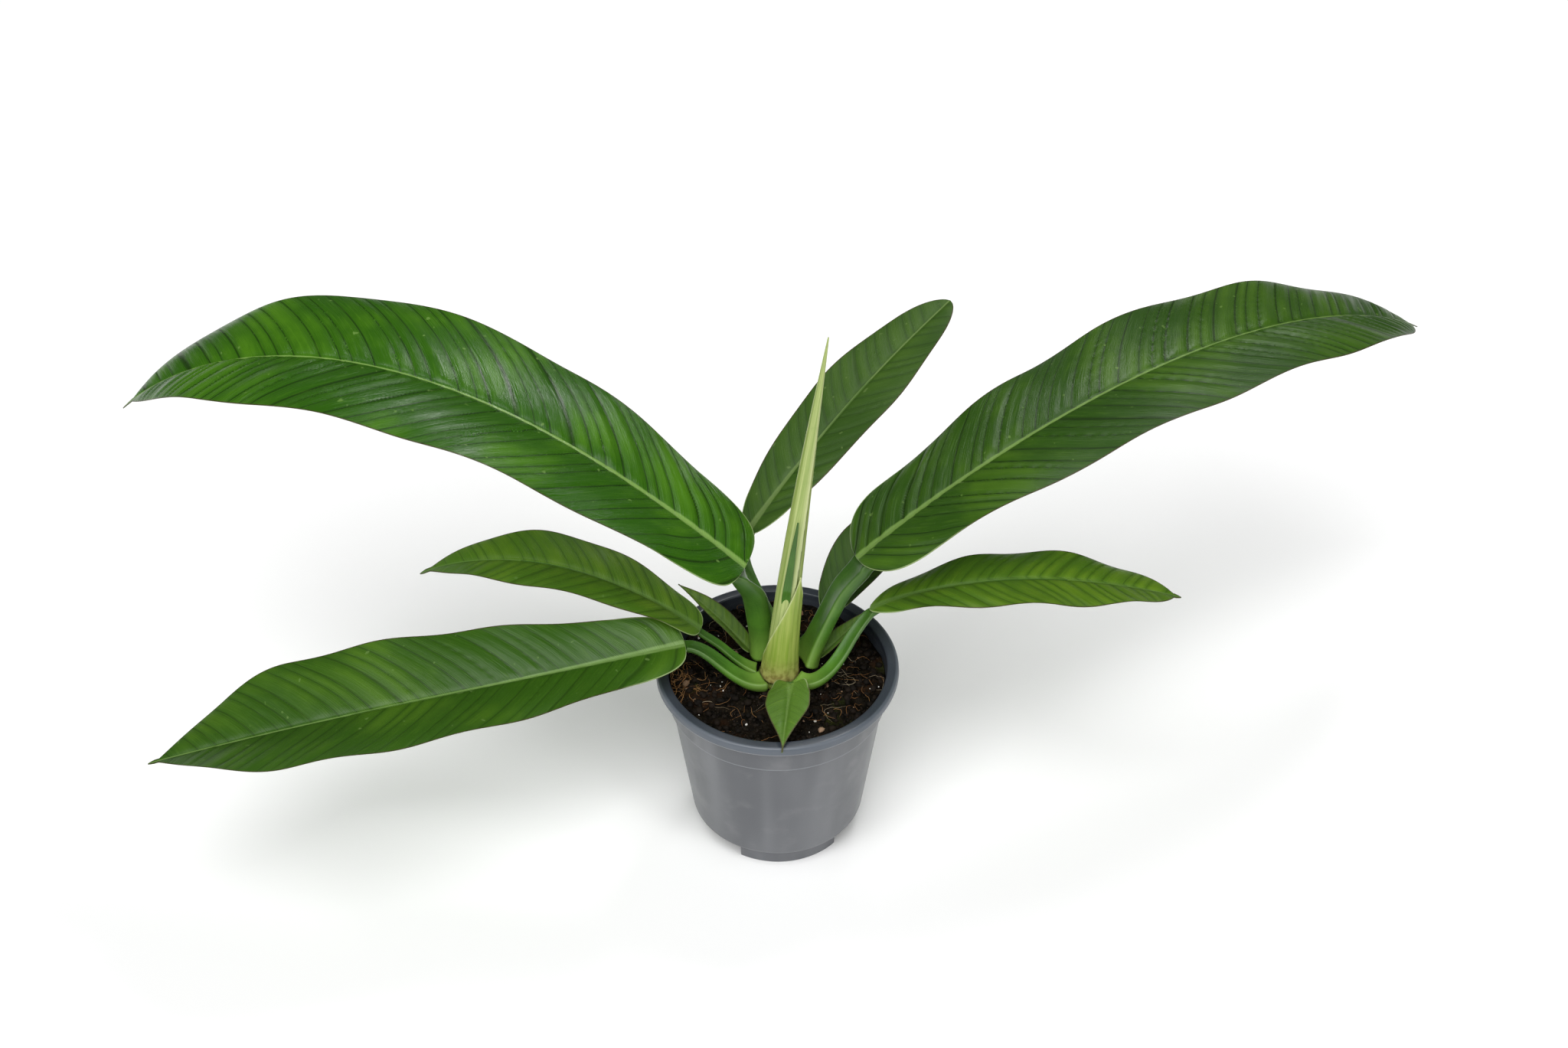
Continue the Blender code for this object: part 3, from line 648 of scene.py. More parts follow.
# %% Shape the leaves
LEAVES = {
    "left_long": blade(
        heading=160, sweep=10, rise=33.5, bend=-79, late=1.8, length=0.349, width=0.0935,
        fold=5.5, roll=3, twist=-6, start=0.56, lobe=0.010, shoulder=0.12,
        taper_start=0.55, taper_power=2.2, tip_power=0.89,
        rows=300, columns=91, vein_gap=10 * MM, relief=1.15 * MM, arch=0.21,
        wave=1.3 * MM, wave_length=0.085, thickness=0.55 * MM, seed=3, finish=DEEP_LEAF,
    ),
    "right_long": blade(
        heading=24.5, sweep=14, rise=30.5, bend=-66, late=1.2, length=0.380, width=0.0845,
        fold=3, roll=-8, twist=10, start=0.60, lobe=0.006, shoulder=0.09,
        taper_start=0.48, taper_power=2.2, tip_power=0.63,
        rows=300, columns=91, vein_gap=10 * MM, relief=1.10 * MM, arch=0.17,
        wave=1.5 * MM, wave_length=0.085, thickness=0.55 * MM, seed=5, finish=DARK_LEAF,
    ),
    "back": blade(
        heading=50, sweep=-3, rise=29, bend=-18, length=0.1675, width=0.0448,
        fold=5.5, roll=-6.5, twist=4, start=0.41, shoulder=0.11,
        taper_start=0.54, taper_power=1.7, tip_power=0.56,
        rows=150, columns=51, vein_gap=9 * MM, relief=0.45 * MM, arch=0.08,
        wave=0.7 * MM, wave_length=0.06, drip=0.0, seed=2, finish=BACK_LEAF,
    ),
    "low_left": blade(
        heading=194, sweep=-6, rise=-4, bend=-10, late=2.5, length=0.263, width=0.077,
        fold=13, roll=-18, twist=28, start=0.34, lobe=0.008, shoulder=0.11,
        taper_start=0.72, taper_power=2.0, tip_power=1.15,
        rows=240, columns=81, vein_gap=10 * MM, relief=0.80 * MM, arch=0.12,
        wave=1.2 * MM, wave_length=0.06, seed=7, finish=LOW_LEAF,
    ),
    "mid_left": blade(
        heading=167, sweep=-2.5, rise=34.5, bend=-70, late=1.15, length=0.1545, width=0.0388,
        fold=8, roll=-1.5, twist=-4, start=0.43, lobe=0.004, shoulder=0.10,
        taper_start=0.53, taper_power=2.0, tip_power=1.15,
        rows=150, columns=51, vein_gap=8 * MM, relief=0.50 * MM, arch=0.12,
        wave=0.9 * MM, wave_length=0.05, thickness=0.45 * MM, seed=4, finish=FRESH_LEAF,
    ),
    "low_right": blade(
        heading=5.5, sweep=1, rise=31.5, bend=-54, late=0.6, length=0.159, width=0.042,
        fold=2, roll=-2, start=0.30, shoulder=0.11,
        taper_start=0.52, taper_power=2.0, tip_power=0.70,
        rows=150, columns=51, vein_gap=8 * MM, relief=0.50 * MM, arch=0.12,
        wave=1.3 * MM, wave_length=0.05, thickness=0.45 * MM, seed=6, finish=FRESH_LEAF,
    ),
    "behind_right": blade(
        heading=47, sweep=6, rise=44, bend=-52, late=1.1, length=0.086, width=0.0320,
        fold=10, start=0.40, shoulder=0.15,
        taper_start=0.45, taper_power=1.8, tip_power=1.0,
        rows=110, columns=45, vein_gap=7 * MM, relief=0.3 * MM, arch=0.10,
        wave=0.6 * MM, wave_length=0.05, thickness=0.45 * MM, seed=8, finish=BACK_LEAF,
    ),
}
for leaf_name, leaf in LEAVES.items():
    make_blade(leaf_name, f"{leaf_name}_blade", f"{leaf_name}_leaf_blade", "blade", leaf)

# %% [markdown]
# ## Stalks
#
# A stalk is round beneath and nearly flat on top, between two raised pale edges, and it swells at
# its foot where it clasps the stem. On the underside of the blade it goes on as the rib, thinner
# and thinner. So one tube is carried along one path: a curve from the crown to the blade, then the
# blade's own midrib, a little below it.
#
# Each stalk has a place round the crown in degrees, and either stands on top of it or leaves its
# side. It sets off at a heading and a rise. It has a half width at its foot and at its top, and a
# handle at each end says how long it keeps its first and its last way.

# %% Stalk finish


def stalk_finish():
    """Smooth green, paler at the foot, with pale raised edges and faint lengthwise streaks."""
    material, tree, shader = new_finish("stalk_green", 0.38, specular=0.4)
    along = field(tree, "along")
    place = own_place(tree)
    mottle = fade(noise(place, 90.0, 4.0), 0.35, 0.7)
    color = blend(mottle, (0.040, 0.125, 0.010), (0.068, 0.185, 0.016))
    streaks = fade(lengthwise(times(field(tree, "round"), 30.0), times(along, 3.0)), 0.45, 0.75)
    color = over(color, streaks, 0.35, (0.11, 0.25, 0.035))
    foot = inverse(fade(along, 0.0, 0.42))
    color = over(color, foot, 0.7, (0.17, 0.30, 0.045))
    color = over(color, field(tree, "ridge"), 0.35, (0.26, 0.38, 0.13))
    top = fade(along, 0.35, 0.95)
    color = over(color, top, 0.65, (0.022, 0.062, 0.008))
    paint(shader, color)
    bump(shader, noise(place, 700.0, 2.0), 0.25, 0.0003)
    return material


STALK_GREEN = stalk_finish()

# %% Stalk formulas
SECTION_STEPS = 40
LEAD_STEPS = 45
RIB_SHARE = 0.62  # of the blade's length, along which the stalk goes on beneath it
RIB_HALF = 0.35 * MM
SHEATH_CLASP = 8.3 * MM  # from the spear's axis to the outside of its sheath
SPEAR_FROM_CROWN = (0.0, -2.0 * MM)
SPEAR_FOOT = np.array([*(CROWN_MIDDLE + SPEAR_FROM_CROWN), CROWN_TOP])


def bezier(first, first_handle, last_handle, last, steps):
    """Points on the cubic curve between two ends with two handles."""
    t = np.linspace(0.0, 1.0, steps)[:, None]
    near = (1 - t) ** 3 * first + 3 * t * (1 - t) ** 2 * first_handle
    return near + 3 * t**2 * (1 - t) * last_handle + t**3 * last


def heading_way(heading, rise):
    """The way of length one at these two angles in degrees."""
    turn, slope = math.radians(heading), math.radians(rise)
    level = math.cos(slope)
    return np.array([level * math.cos(turn), level * math.sin(turn), math.sin(slope)])


def stalk_foot(stalk):
    """Where a stalk starts: round the spear on top of the crown, or against the crown's side."""
    around = heading_way(stalk.around, 0)
    if stalk.stands:
        away = SHEATH_CLASP + stalk.foot_radius + stalk.out - 1.0 * MM
        return np.array([*SPEAR_FOOT[:2], CROWN_TOP + 0.5 * stalk.foot_radius]) + away * around
    away = CROWN_RADIUS + 0.4 * stalk.foot_radius - 1.0 * MM
    return np.array([*CROWN_MIDDLE, SOIL_Z + stalk.height]) + away * around


def tube(path, across, half_widths, section):
    """A section carried along a path: each point is the path's, plus the section's two numbers times
    the half width, sideways and up. Gives rows x columns of points."""
    ahead = np.gradient(path, axis=0)
    ahead /= np.linalg.norm(ahead, axis=1)[:, None]
    across = across - (across * ahead).sum(1)[:, None] * ahead
    across /= np.linalg.norm(across, axis=1)[:, None]
    up = np.cross(ahead, across)
    out = section[None, :, 0, None] * across[:, None] + section[None, :, 1, None] * up[:, None]
    return path[:, None] + half_widths[:, None, None] * out


def stalk_section(steps=SECTION_STEPS):
    """Round below and almost flat on top, between two raised edges; right-handed from the left
    edge over the top. Also how far each point is onto a raised edge."""
    angle = all_round(steps)
    across = np.cos(angle)
    below = 0.85 * np.sin(angle)
    above = (0.26 + 0.26 * across**2) * (1 - across**10)
    up = np.where(np.sin(angle) > 0, above, below)
    ridge = np.where(np.sin(angle) > 0, np.exp(-(((np.abs(across) - 0.90) / 0.06) ** 2)), 0.0)
    return np.stack([across, up], -1), ridge, angle


def stalk_fields(along, ridge, angle, ridge_left=1.0):
    """What the stalk's finish reads: along goes with the rows, ridge and angle with the columns."""
    rows = np.ones((len(along), 1))
    return {
        "ridge": ridge_left * ridge[None, :] * rows,
        "along": along[:, None] + 0 * ridge[None, :],
        "round": np.sin(angle)[None, :] * rows,
    }


def make_stalk(leaf_name, stalk):
    """The stalk from its foot to the blade, and on beneath the blade as its rib."""
    leaf = LEAVES[leaf_name]
    u = np.linspace(0.0, RIB_SHARE, 60)
    middle, ahead, across, up = ways(leaf, u)
    rib_path = PLACES[leaf_name](middle)
    first = stalk_foot(stalk)
    leave = first + stalk.leave * heading_way(stalk.heading, stalk.rise)
    straight = (rib_path[0] - first) / np.linalg.norm(rib_path[0] - first)
    toward = stalk.bent * ahead[0] + (1 - stalk.bent) * straight
    arrive = rib_path[0] - stalk.arrive * toward / np.linalg.norm(toward)
    lead = bezier(first, leave, arrive, rib_path[0], LEAD_STEPS + 1)
    lead_across = np.cross([0.0, 0.0, 1.0], np.gradient(lead, axis=0))
    lead_across /= np.linalg.norm(lead_across, axis=1)[:, None]
    path = np.vstack([lead[:-1], rib_path])
    sideways = np.vstack([lead_across[:-1], across])
    t = np.linspace(0.0, 1.0, LEAD_STEPS)
    shrink = stalk.foot_radius + (stalk.top_radius - stalk.foot_radius) * t
    lead_half = shrink * (1 + 0.35 * (1 - t) ** 5)
    rib_half = RIB_HALF + (stalk.top_radius - RIB_HALF) * (1 - u / u[-1]) ** 3
    half = np.concatenate([lead_half, rib_half])
    close = np.clip((t - 0.6) / 0.4, 0, 1)
    sink = np.concatenate([close**2 * (3 - 2 * close), np.ones(len(u))])
    lead_up = np.tile(up[0], (LEAD_STEPS, 1))
    lift = np.vstack([lead_up, up]) * (sink * (half * 0.62 + 0.25 * MM))[:, None]
    section, ridge, angle = stalk_section()
    points = tube(path - lift, sideways, half, section)
    share = np.concatenate([t, np.ones(len(u))])
    ridge_left = np.concatenate([np.ones(LEAD_STEPS), np.clip(1 - u / 0.03, 0, 1)])[:, None]
    node = f"{leaf_name}_stalk"
    mesh = grid_mesh(node, points, stalk_fields(share, ridge, angle, ridge_left))
    add_piece(f"{leaf_name}_leaf_stalk", mesh, STALK_GREEN, "stalk", node)


def stalk(**numbers):
    """One stalk's numbers: those given, and the plain ones for the rest."""
    return SimpleNamespace(**{**dict(stands=False, out=0.0, height=0.0, bent=1.0), **numbers})


STALKS = {
    "left_long": stalk(
        around=122, stands=True, heading=150, rise=82, bent=0.25,
        foot_radius=0.0064, top_radius=0.0069, leave=0.022, arrive=0.016,
    ),
    "right_long": stalk(
        around=24, stands=True, heading=30, rise=64, bent=0.15,
        foot_radius=0.0062, top_radius=0.0070, leave=0.014, arrive=0.012,
    ),
    "back": stalk(
        around=84, stands=True, heading=128, rise=66, out=0.0058,
        foot_radius=0.0032, top_radius=0.0026, leave=0.022, arrive=0.014,
    ),
    "low_left": stalk(
        around=228, heading=208, rise=4, height=0.0046,
        foot_radius=0.0045, top_radius=0.0034, leave=0.014, arrive=0.010,
    ),
    "mid_left": stalk(
        around=182, heading=178, rise=22, height=0.0044,
        foot_radius=0.0030, top_radius=0.0022, leave=0.010, arrive=0.010,
    ),
    "low_right": stalk(
        around=314, heading=326, rise=4, height=0.0050,
        foot_radius=0.0042, top_radius=0.0028, leave=0.022, arrive=0.008,
    ),
    "behind_right": stalk(
        around=57, stands=True, heading=50, rise=55, out=0.0048,
        foot_radius=0.0026, top_radius=0.0020, leave=0.006, arrive=0.006,
    ),
}
for leaf_name, numbers in STALKS.items():
    make_stalk(leaf_name, numbers)

# %% [markdown]
# ## Small leaves
#
# Two narrow leaves with no stalk stand beside the crown, and a heart-shaped one lies forward over
# the rim with its drip tip just past it. They are the same sheet with other numbers.

# %% Small leaves and the front leaf
SMALL_LEAVES = {
    "small_left_leaf": blade(
        heading=156, sweep=-6, rise=52, bend=-30, length=0.048, width=0.0125,
        fold=28, start=0.75, shoulder=0.20,
        taper_start=0.40, taper_power=1.6, tip_power=1.0,
        rows=80, columns=31, vein_gap=5 * MM, relief=0.12 * MM, arch=0.1,
        wave=0.3 * MM, wave_length=0.03, drip=0.0, finish=YOUNG_LEAF, seed=9,
    ),
    "small_right_leaf": blade(
        heading=19, rise=46, bend=-4, length=0.036, width=0.0100,
        fold=24, start=0.75, shoulder=0.20,
        taper_start=0.35, taper_power=1.5, tip_power=1.1,
        rows=70, columns=31, vein_gap=5 * MM, relief=0.1 * MM, arch=0.1,
        wave=0.2 * MM, wave_length=0.03, drip=0.0, finish=YOUNG_LEAF, seed=10,
    ),
    "front_leaf_blade": blade(
        heading=-95, rise=7, bend=-15, length=0.0495, width=0.0220,
        fold=9, roll=4, start=0.85, lobe=0.005, shoulder=0.20,
        taper_start=0.38, taper_power=1.5, tip_power=1.75,
        rows=110, columns=51, vein_gap=6 * MM, relief=0.16 * MM, arch=0.16,
        wave=0.35 * MM, wave_length=0.03, drip=0.0, finish=YOUNG_LEAF, seed=12,
    ),
}
for node, leaf in SMALL_LEAVES.items():
    make_blade(node, node, f"{node}_fine", "young_leaf", leaf)

FRONT_STALK_ROWS = 20
FRONT_STALK_HALF = 1.6 * MM
front_low, front_high = box_of("front_leaf_stalk")
front_top = PLACES["front_leaf_blade"](np.zeros((1, 1, 3)))[0, 0]
front_foot = np.array([
    (front_low[0] + front_high[0]) / 2, front_high[1] + 1.5 * MM, front_low[2] + 1.0 * MM,
])
front_handles = front_foot + [0, -1.5 * MM, 2.5 * MM], front_top + [0, 2.0 * MM, 0]
front_path = bezier(front_foot, *front_handles, front_top, FRONT_STALK_ROWS)
front_section, front_ridge, front_angle = stalk_section(24)
front_across = np.tile([1.0, 0.0, 0.0], (FRONT_STALK_ROWS, 1))
front_half = np.full(FRONT_STALK_ROWS, FRONT_STALK_HALF)
front_points = tube(front_path, front_across, front_half, front_section)
front_fields = stalk_fields(np.linspace(0.0, 1.0, FRONT_STALK_ROWS), front_ridge, front_angle)
front_mesh = grid_mesh("front_leaf_stalk_fine", front_points, front_fields)
add_piece("front_leaf_short_stalk", front_mesh, STALK_GREEN, "stalk", "front_leaf_stalk")

# %% [markdown]
# ## The spear and its sheath
#
# The newest leaf is still rolled lengthwise, so its outside is a spiral with one free margin that
# runs from foot to tip as a fine step. The sheath is a pale sheet wrapped round its foot, which
# narrows to a tip on the right and leaves the spear bare on the left. Both are pale yellow-green
# with fine lengthwise stripes, and the sheath turns straw-brown where it meets the soil.

# %% Spear and sheath finish


def striped_finish(name, pale, green, foot_color, foot_reach):
    """Pale yellow-green with lengthwise stripes; foot_color fades in below foot_reach."""
    material, tree, shader = new_finish(name, 0.40, coat=0.1)
    along = field(tree, "along")
    around = field(tree, "round")
    place = own_place(tree)
    lines = lengthwise(times(around, 34.0), times(along, 2.0))
    color = blend(fade(lines, 0.35, 0.68), pale, green)
    mottle = fade(noise(place, 160.0, 3.0), 0.55, 0.75)
    color = over(color, mottle, 0.30, green)
    darker = tuple(0.45 * channel for channel in green)
    color = over(color, field(tree, "shade"), 0.85, darker)
    color = over(color, field(tree, "margin"), 0.6, (0.62, 0.66, 0.36))
    foot = inverse(fade(along, 0.0, foot_reach))
    speckle = fade(noise(place, 330.0, 3.0), 0.42, 0.62)
    straw = blend(speckle, foot_color, (0.20, 0.115, 0.045))
    color = over(color, foot, 0.75, straw)
    paint(shader, color)
    bump(shader, lines, 0.5, 0.0003)
    return material


SPEAR_PALE = striped_finish(
    "pale_spear", (0.40, 0.47, 0.16), (0.22, 0.31, 0.065),
    (0.35, 0.42, 0.14), 0.05,
)
SHEATH_PALE = striped_finish(
    "pale_sheath", (0.31, 0.39, 0.075), (0.21, 0.31, 0.035),
    (0.42, 0.36, 0.13), 0.26,
)

# %% Spear
spear_high = box_of("spear_leaf")[1]
SPEAR_LENGTH = spear_high[2] - CROWN_TOP
SPEAR_LEAN = np.array([spear_high[0] - SPEAR_FOOT[0], 2.0 * MM])
SPEAR_RADIUS = 6.6 * MM


def spear_middle(share):
    """The spear's axis: up, and sideways by the lean times the share to the power 1.2."""
    share = np.asarray(share)[..., None]
    rise = SPEAR_FOOT + share * np.array([0.0, 0.0, SPEAR_LENGTH])
    return rise + share**1.2 * np.array([*SPEAR_LEAN, 0.0])


def spear_radius(share):
    return SPEAR_RADIUS * (1 - share**1.5) + 0.35 * MM


def spear_points(rows, columns):
    """The rolled leaf: a radius that grows by a tenth once round, so that one step is left at the
    free margin, which winds slowly up the spear, and soft ribs along it."""
    share = np.linspace(0.0, 1.0, rows)[:, None]
    turn = all_round(columns)[None, :]
    seam = math.radians(285) + 0.9 * share
    wound = ((turn - seam) / (2 * np.pi)) % 1.0
    out = spear_radius(share) * (0.93 + 0.11 * wound + 0.012 * np.cos(9 * turn + 3 * share))
    points = spear_middle(share[:, 0])[:, None] + out[..., None] * ring(turn + 0 * share)
    fields = {
        "along": share + 0 * turn,
        "round": wound,
        "shade": np.exp(-((wound / 0.035) ** 2)) * (share > 0.02),
        "margin": np.exp(-(((1 - wound) / 0.05) ** 2)),
    }
    return points, fields


spear_mesh = grid_mesh("rolled_spear", *spear_points(180, 120))
add_piece("rolled_spear", spear_mesh, SPEAR_PALE, "spear", "spear_leaf")

# %% Sheath
SHEATH_LENGTH = box_of("spear_sheath")[1][2] - CROWN_TOP
SHEATH_FACING_DEG = 312.0
SHEATH_WRAP_DEG = 158.0


def sheath_grids(rows, columns):
    """The sheath's outside and inside: each row wraps half as far round as it is high short of the
    tip, stands off at the free edges, and swells at the foot."""
    u = np.linspace(0.0, 1.0, rows)[:, None]
    v = np.sin(np.linspace(np.pi / 2, -np.pi / 2, columns))[None, :]
    share = u * SHEATH_LENGTH / SPEAR_LENGTH
    wrap = np.maximum(SHEATH_WRAP_DEG * (1 - u), 2.5)
    turn = np.radians(SHEATH_FACING_DEG + v * wrap)
    outward = ring(turn)
    swell = 1.5 * MM * (1 - u) ** 4 + 0.10 * MM * np.sin(14 * turn)
    inside = spear_radius(share) * 1.04 + 0.25 * MM + 0.35 * MM * np.abs(v) ** 6
    thick = 0.75 * MM * (0.35 + 0.65 * np.sqrt(1 - v**2))
    middle = spear_middle(share[:, 0])[:, None]
    outside = inside + thick + swell
    fields = {
        "along": u + 0 * v,
        "round": turn / (2 * np.pi) + 0 * u,
        "shade": 0 * turn,
        "margin": np.exp(-(((1 - np.abs(v)) * np.radians(wrap) * SPEAR_RADIUS / (0.5 * MM)) ** 2)),
    }
    return middle + outside[..., None] * outward, middle + inside[..., None] * outward, fields


outside, inside, sheath_fields = sheath_grids(120, 90)
sheath_sides = outside[:, ::-1], inside[:, ::-1]
sheath_mesh = shell_mesh("spear_sheath_fine", *sheath_sides, sheath_fields, lambda points: points)
add_piece("clasping_sheath", sheath_mesh, SHEATH_PALE, "sheath", "spear_sheath")

# %% [markdown]
# ### The narrow rolled blade
#
# Beside the sheath's free edge a narrow green blade comes up, still rolled, with a curled tip. It is
# a thin tube that follows the spear and narrows as it goes.

# %% Rolled blade
ROLLED_ROWS = 70
ROLLED_TUCKED = 6.0 * MM  # into the sheath
ROLLED_FACING_DEG = 258
rolled_low, rolled_high = box_of("rolled_blade")
rolled_t = np.linspace(0.0, 1.0, ROLLED_ROWS)
rolled_height = np.linspace(rolled_low[2] - ROLLED_TUCKED, rolled_high[2], ROLLED_ROWS)
rolled_share = (rolled_height - CROWN_TOP) / SPEAR_LENGTH
rolled_turn = np.radians(ROLLED_FACING_DEG + 6 * rolled_t)
rolled_rise = np.clip(rolled_t / 0.25, 0, 1) ** 2
rolled_out = spear_radius(rolled_share) + (2.2 * rolled_rise - 1.0 + 0.8 * rolled_t**6) * MM
rolled_path = spear_middle(rolled_share) + rolled_out[:, None] * ring(rolled_turn)
rolled_side = np.stack([-np.sin(rolled_turn), np.cos(rolled_turn), 0 * rolled_turn], -1)
rolled_half = 2.3 * MM * (1 - 0.82 * rolled_t**1.6)
rolled_section, rolled_ridge, rolled_angle = stalk_section(32)
rolled_points = tube(rolled_path, rolled_side, rolled_half, rolled_section * [1.0, -0.8])
rolled_fields = stalk_fields(0.35 + 0.65 * rolled_t, rolled_ridge, rolled_angle, 0.5)
rolled_fields = {field: values[:, ::-1] for field, values in rolled_fields.items()}
rolled_mesh = grid_mesh("rolled_blade_fine", rolled_points[:, ::-1], rolled_fields)
add_piece("narrow_rolled_blade", rolled_mesh, STALK_GREEN, "young_leaf", "rolled_blade")

# %% [markdown]
# ## The crown
#
# The leaves grow from a short stem with the scars of older leaves round it. A turned form with soft
# rings is enough, since the stalks' swollen feet cover most of it.

# %% Crown
crown_share = np.linspace(0.0, 1.0, 40)[:, None]
crown_turn = all_round(72)[None, :]
crown_round = np.minimum(1.0, np.sqrt(1 - (np.maximum(crown_share - 0.75, 0) / 0.26) ** 2))
crown_scars = 0.03 * np.cos(5 * crown_turn + 9 * crown_share) + 0.02 * np.sin(40 * crown_share)
crown_out = CROWN_RADIUS * crown_round * (0.97 + crown_scars)
crown_z = crown_low[2] + (CROWN_TOP - crown_low[2]) * crown_share
crown_points = turned(CROWN_MIDDLE, crown_out, crown_turn, crown_z)
crown_fields = {
    "along": 0.1 + 0.3 * crown_share + 0 * crown_turn,
    "round": crown_turn / 6 + 0 * crown_share,
    "shade": 0.3 + 0 * crown_out,
    "margin": 0 * crown_out,
}
crown_mesh = grid_mesh("leaf_crown", crown_points, crown_fields)
add_piece("leaf_crown", crown_mesh, SHEATH_PALE, "stalk", "stem_crown")

# %% [markdown]
# ## The nursery pot
#
# A nursery pot is moulded in one piece: a thin wall that tapers, a wide band above a small step that
# keeps stacked pots apart, a rolled lip, a floor with drain holes and a ring foot in three arcs. The
# profile is turned in one go, with rounded corners, and the foot gaps and holes are cut afterwards.
# A very slight unevenness in the wall, with upright light and dark bands painted into the grey as
# reflections, gives the soft upright streaks that such a pot shows.

# %% Pot profile
WALL = 1.2 * MM
LIP_OUT = 4.8 * MM
LIP_HIGH = 4.6 * MM
BAND_LOW = RIM_Z - 21.0 * MM
BASE_RADIUS = 43.2 * MM
FOOT_RADIUS = 38.0 * MM
FOOT_HIGH = 11.0 * MM
FOOT_WALL = 2.2 * MM
FOOT_GAP = 27.0 * MM
FIRST_GAP_DEG = -20.0
POT_COLUMNS = 192
FOOT_CUT_DEEP = 8.0 * MM
DRAIN_RING = 27.0 * MM
DRAIN_RADIUS = 3.0 * MM
WALL_RIPPLE = 0.07 * MM


def rounded(corners, steps=5):
    """A path through (radius, height, rounding) corners, each eased by a quadratic curve that starts
    and ends the rounding's distance from the corner."""
    corners = np.array(corners)
    path = [corners[:1, :2]]
    for before, corner, after in zip(corners[:-2], corners[1:-1], corners[2:]):
        back = before[:2] - corner[:2]
        on = after[:2] - corner[:2]
        ease = min(corner[2], 0.45 * np.linalg.norm(back), 0.45 * np.linalg.norm(on))
        first = corner[:2] + back / np.linalg.norm(back) * ease
        last = corner[:2] + on / np.linalg.norm(on) * ease
        t = np.linspace(0.0, 1.0, steps)[:, None]
        path.append((1 - t) ** 2 * first + 2 * t * (1 - t) * corner[:2] + t**2 * last)
    path.append(corners[-1:, :2])
    return np.vstack(path)


def pot_profile():
    """The pot's section from under the floor, up the outside, over the lip and down the inside."""
    band_top = RIM_RADIUS - LIP_OUT
    band_foot = band_top - 1.2 * MM
    wall_top = band_foot - 1.4 * MM
    floor_top = FOOT_HIGH + WALL
    inner_foot = BASE_RADIUS - WALL + 0.2 * MM
    fine = 0.5 * MM
    return rounded([
        (1.0 * MM, FOOT_HIGH, 0),
        (FOOT_RADIUS - FOOT_WALL, FOOT_HIGH, fine),
        (FOOT_RADIUS - FOOT_WALL + 0.3 * MM, 0.0, fine),
        (FOOT_RADIUS, 0.0, fine),
        (FOOT_RADIUS + 0.4 * MM, FOOT_HIGH - 1.0 * MM, 1.5 * MM),
        (BASE_RADIUS, FOOT_HIGH + 0.3 * MM, 2.2 * MM),
        (wall_top, BAND_LOW, 0.5 * MM),
        (band_foot, BAND_LOW + 0.7 * MM, 0.4 * MM),
        (band_top, RIM_Z - LIP_HIGH, fine),
        (RIM_RADIUS - 0.5 * MM, RIM_Z - LIP_HIGH - 0.2 * MM, 0.4 * MM),
        (RIM_RADIUS, RIM_Z - LIP_HIGH + 0.8 * MM, 0.6 * MM),
        (RIM_RADIUS - 0.3 * MM, RIM_Z, 2.2 * MM),
        (band_top - WALL, RIM_Z, 1.2 * MM),
        (band_top - WALL, RIM_Z - 3.0 * MM, fine),
        (band_foot - WALL, BAND_LOW + 0.8 * MM, fine),
        (wall_top - WALL, BAND_LOW - 0.4 * MM, fine),
        (inner_foot, floor_top, 1.0 * MM),
        (1.0 * MM, floor_top, 0),
    ])


# %% Turn and cut the pot


def turned_points(profile, columns, uneven):
    """A profile carried round the pot's axis; uneven is a small change of radius round the pot."""
    turn = all_round(columns)
    ripple = uneven * (np.sin(4 * turn + 0.6) + 0.6 * np.sin(9 * turn + 2.0))
    out = profile[:, 0, None]
    out = out + ripple[None, :] * np.clip(out / RIM_RADIUS, 0, 1)
    return turned(POT_AXIS, out, turn, profile[:, 1, None])


def cutter_mesh(name, turn_deg, out, half_sizes, is_square, low, high):
    """An upright cutter this far out from the pot's axis, between two heights: an ellipse, which is
    drawn out to its corners where is_square is set."""
    angle = math.radians(turn_deg)
    turn = all_round(32 if is_square else 30)
    stretch = 1 / np.maximum(np.abs(np.cos(turn)), np.abs(np.sin(turn))) if is_square else 1.0
    x = out + half_sizes[0] * np.cos(turn) * stretch
    y = half_sizes[1] * np.sin(turn) * stretch
    level = np.stack([
        POT_AXIS[0] + x * math.cos(angle) - y * math.sin(angle),
        POT_AXIS[1] + x * math.sin(angle) + y * math.cos(angle),
    ], -1)
    ends = [np.column_stack([level, np.full(len(turn), z)]) for z in (low, high)]
    return grid_mesh(name, np.stack(ends), {})


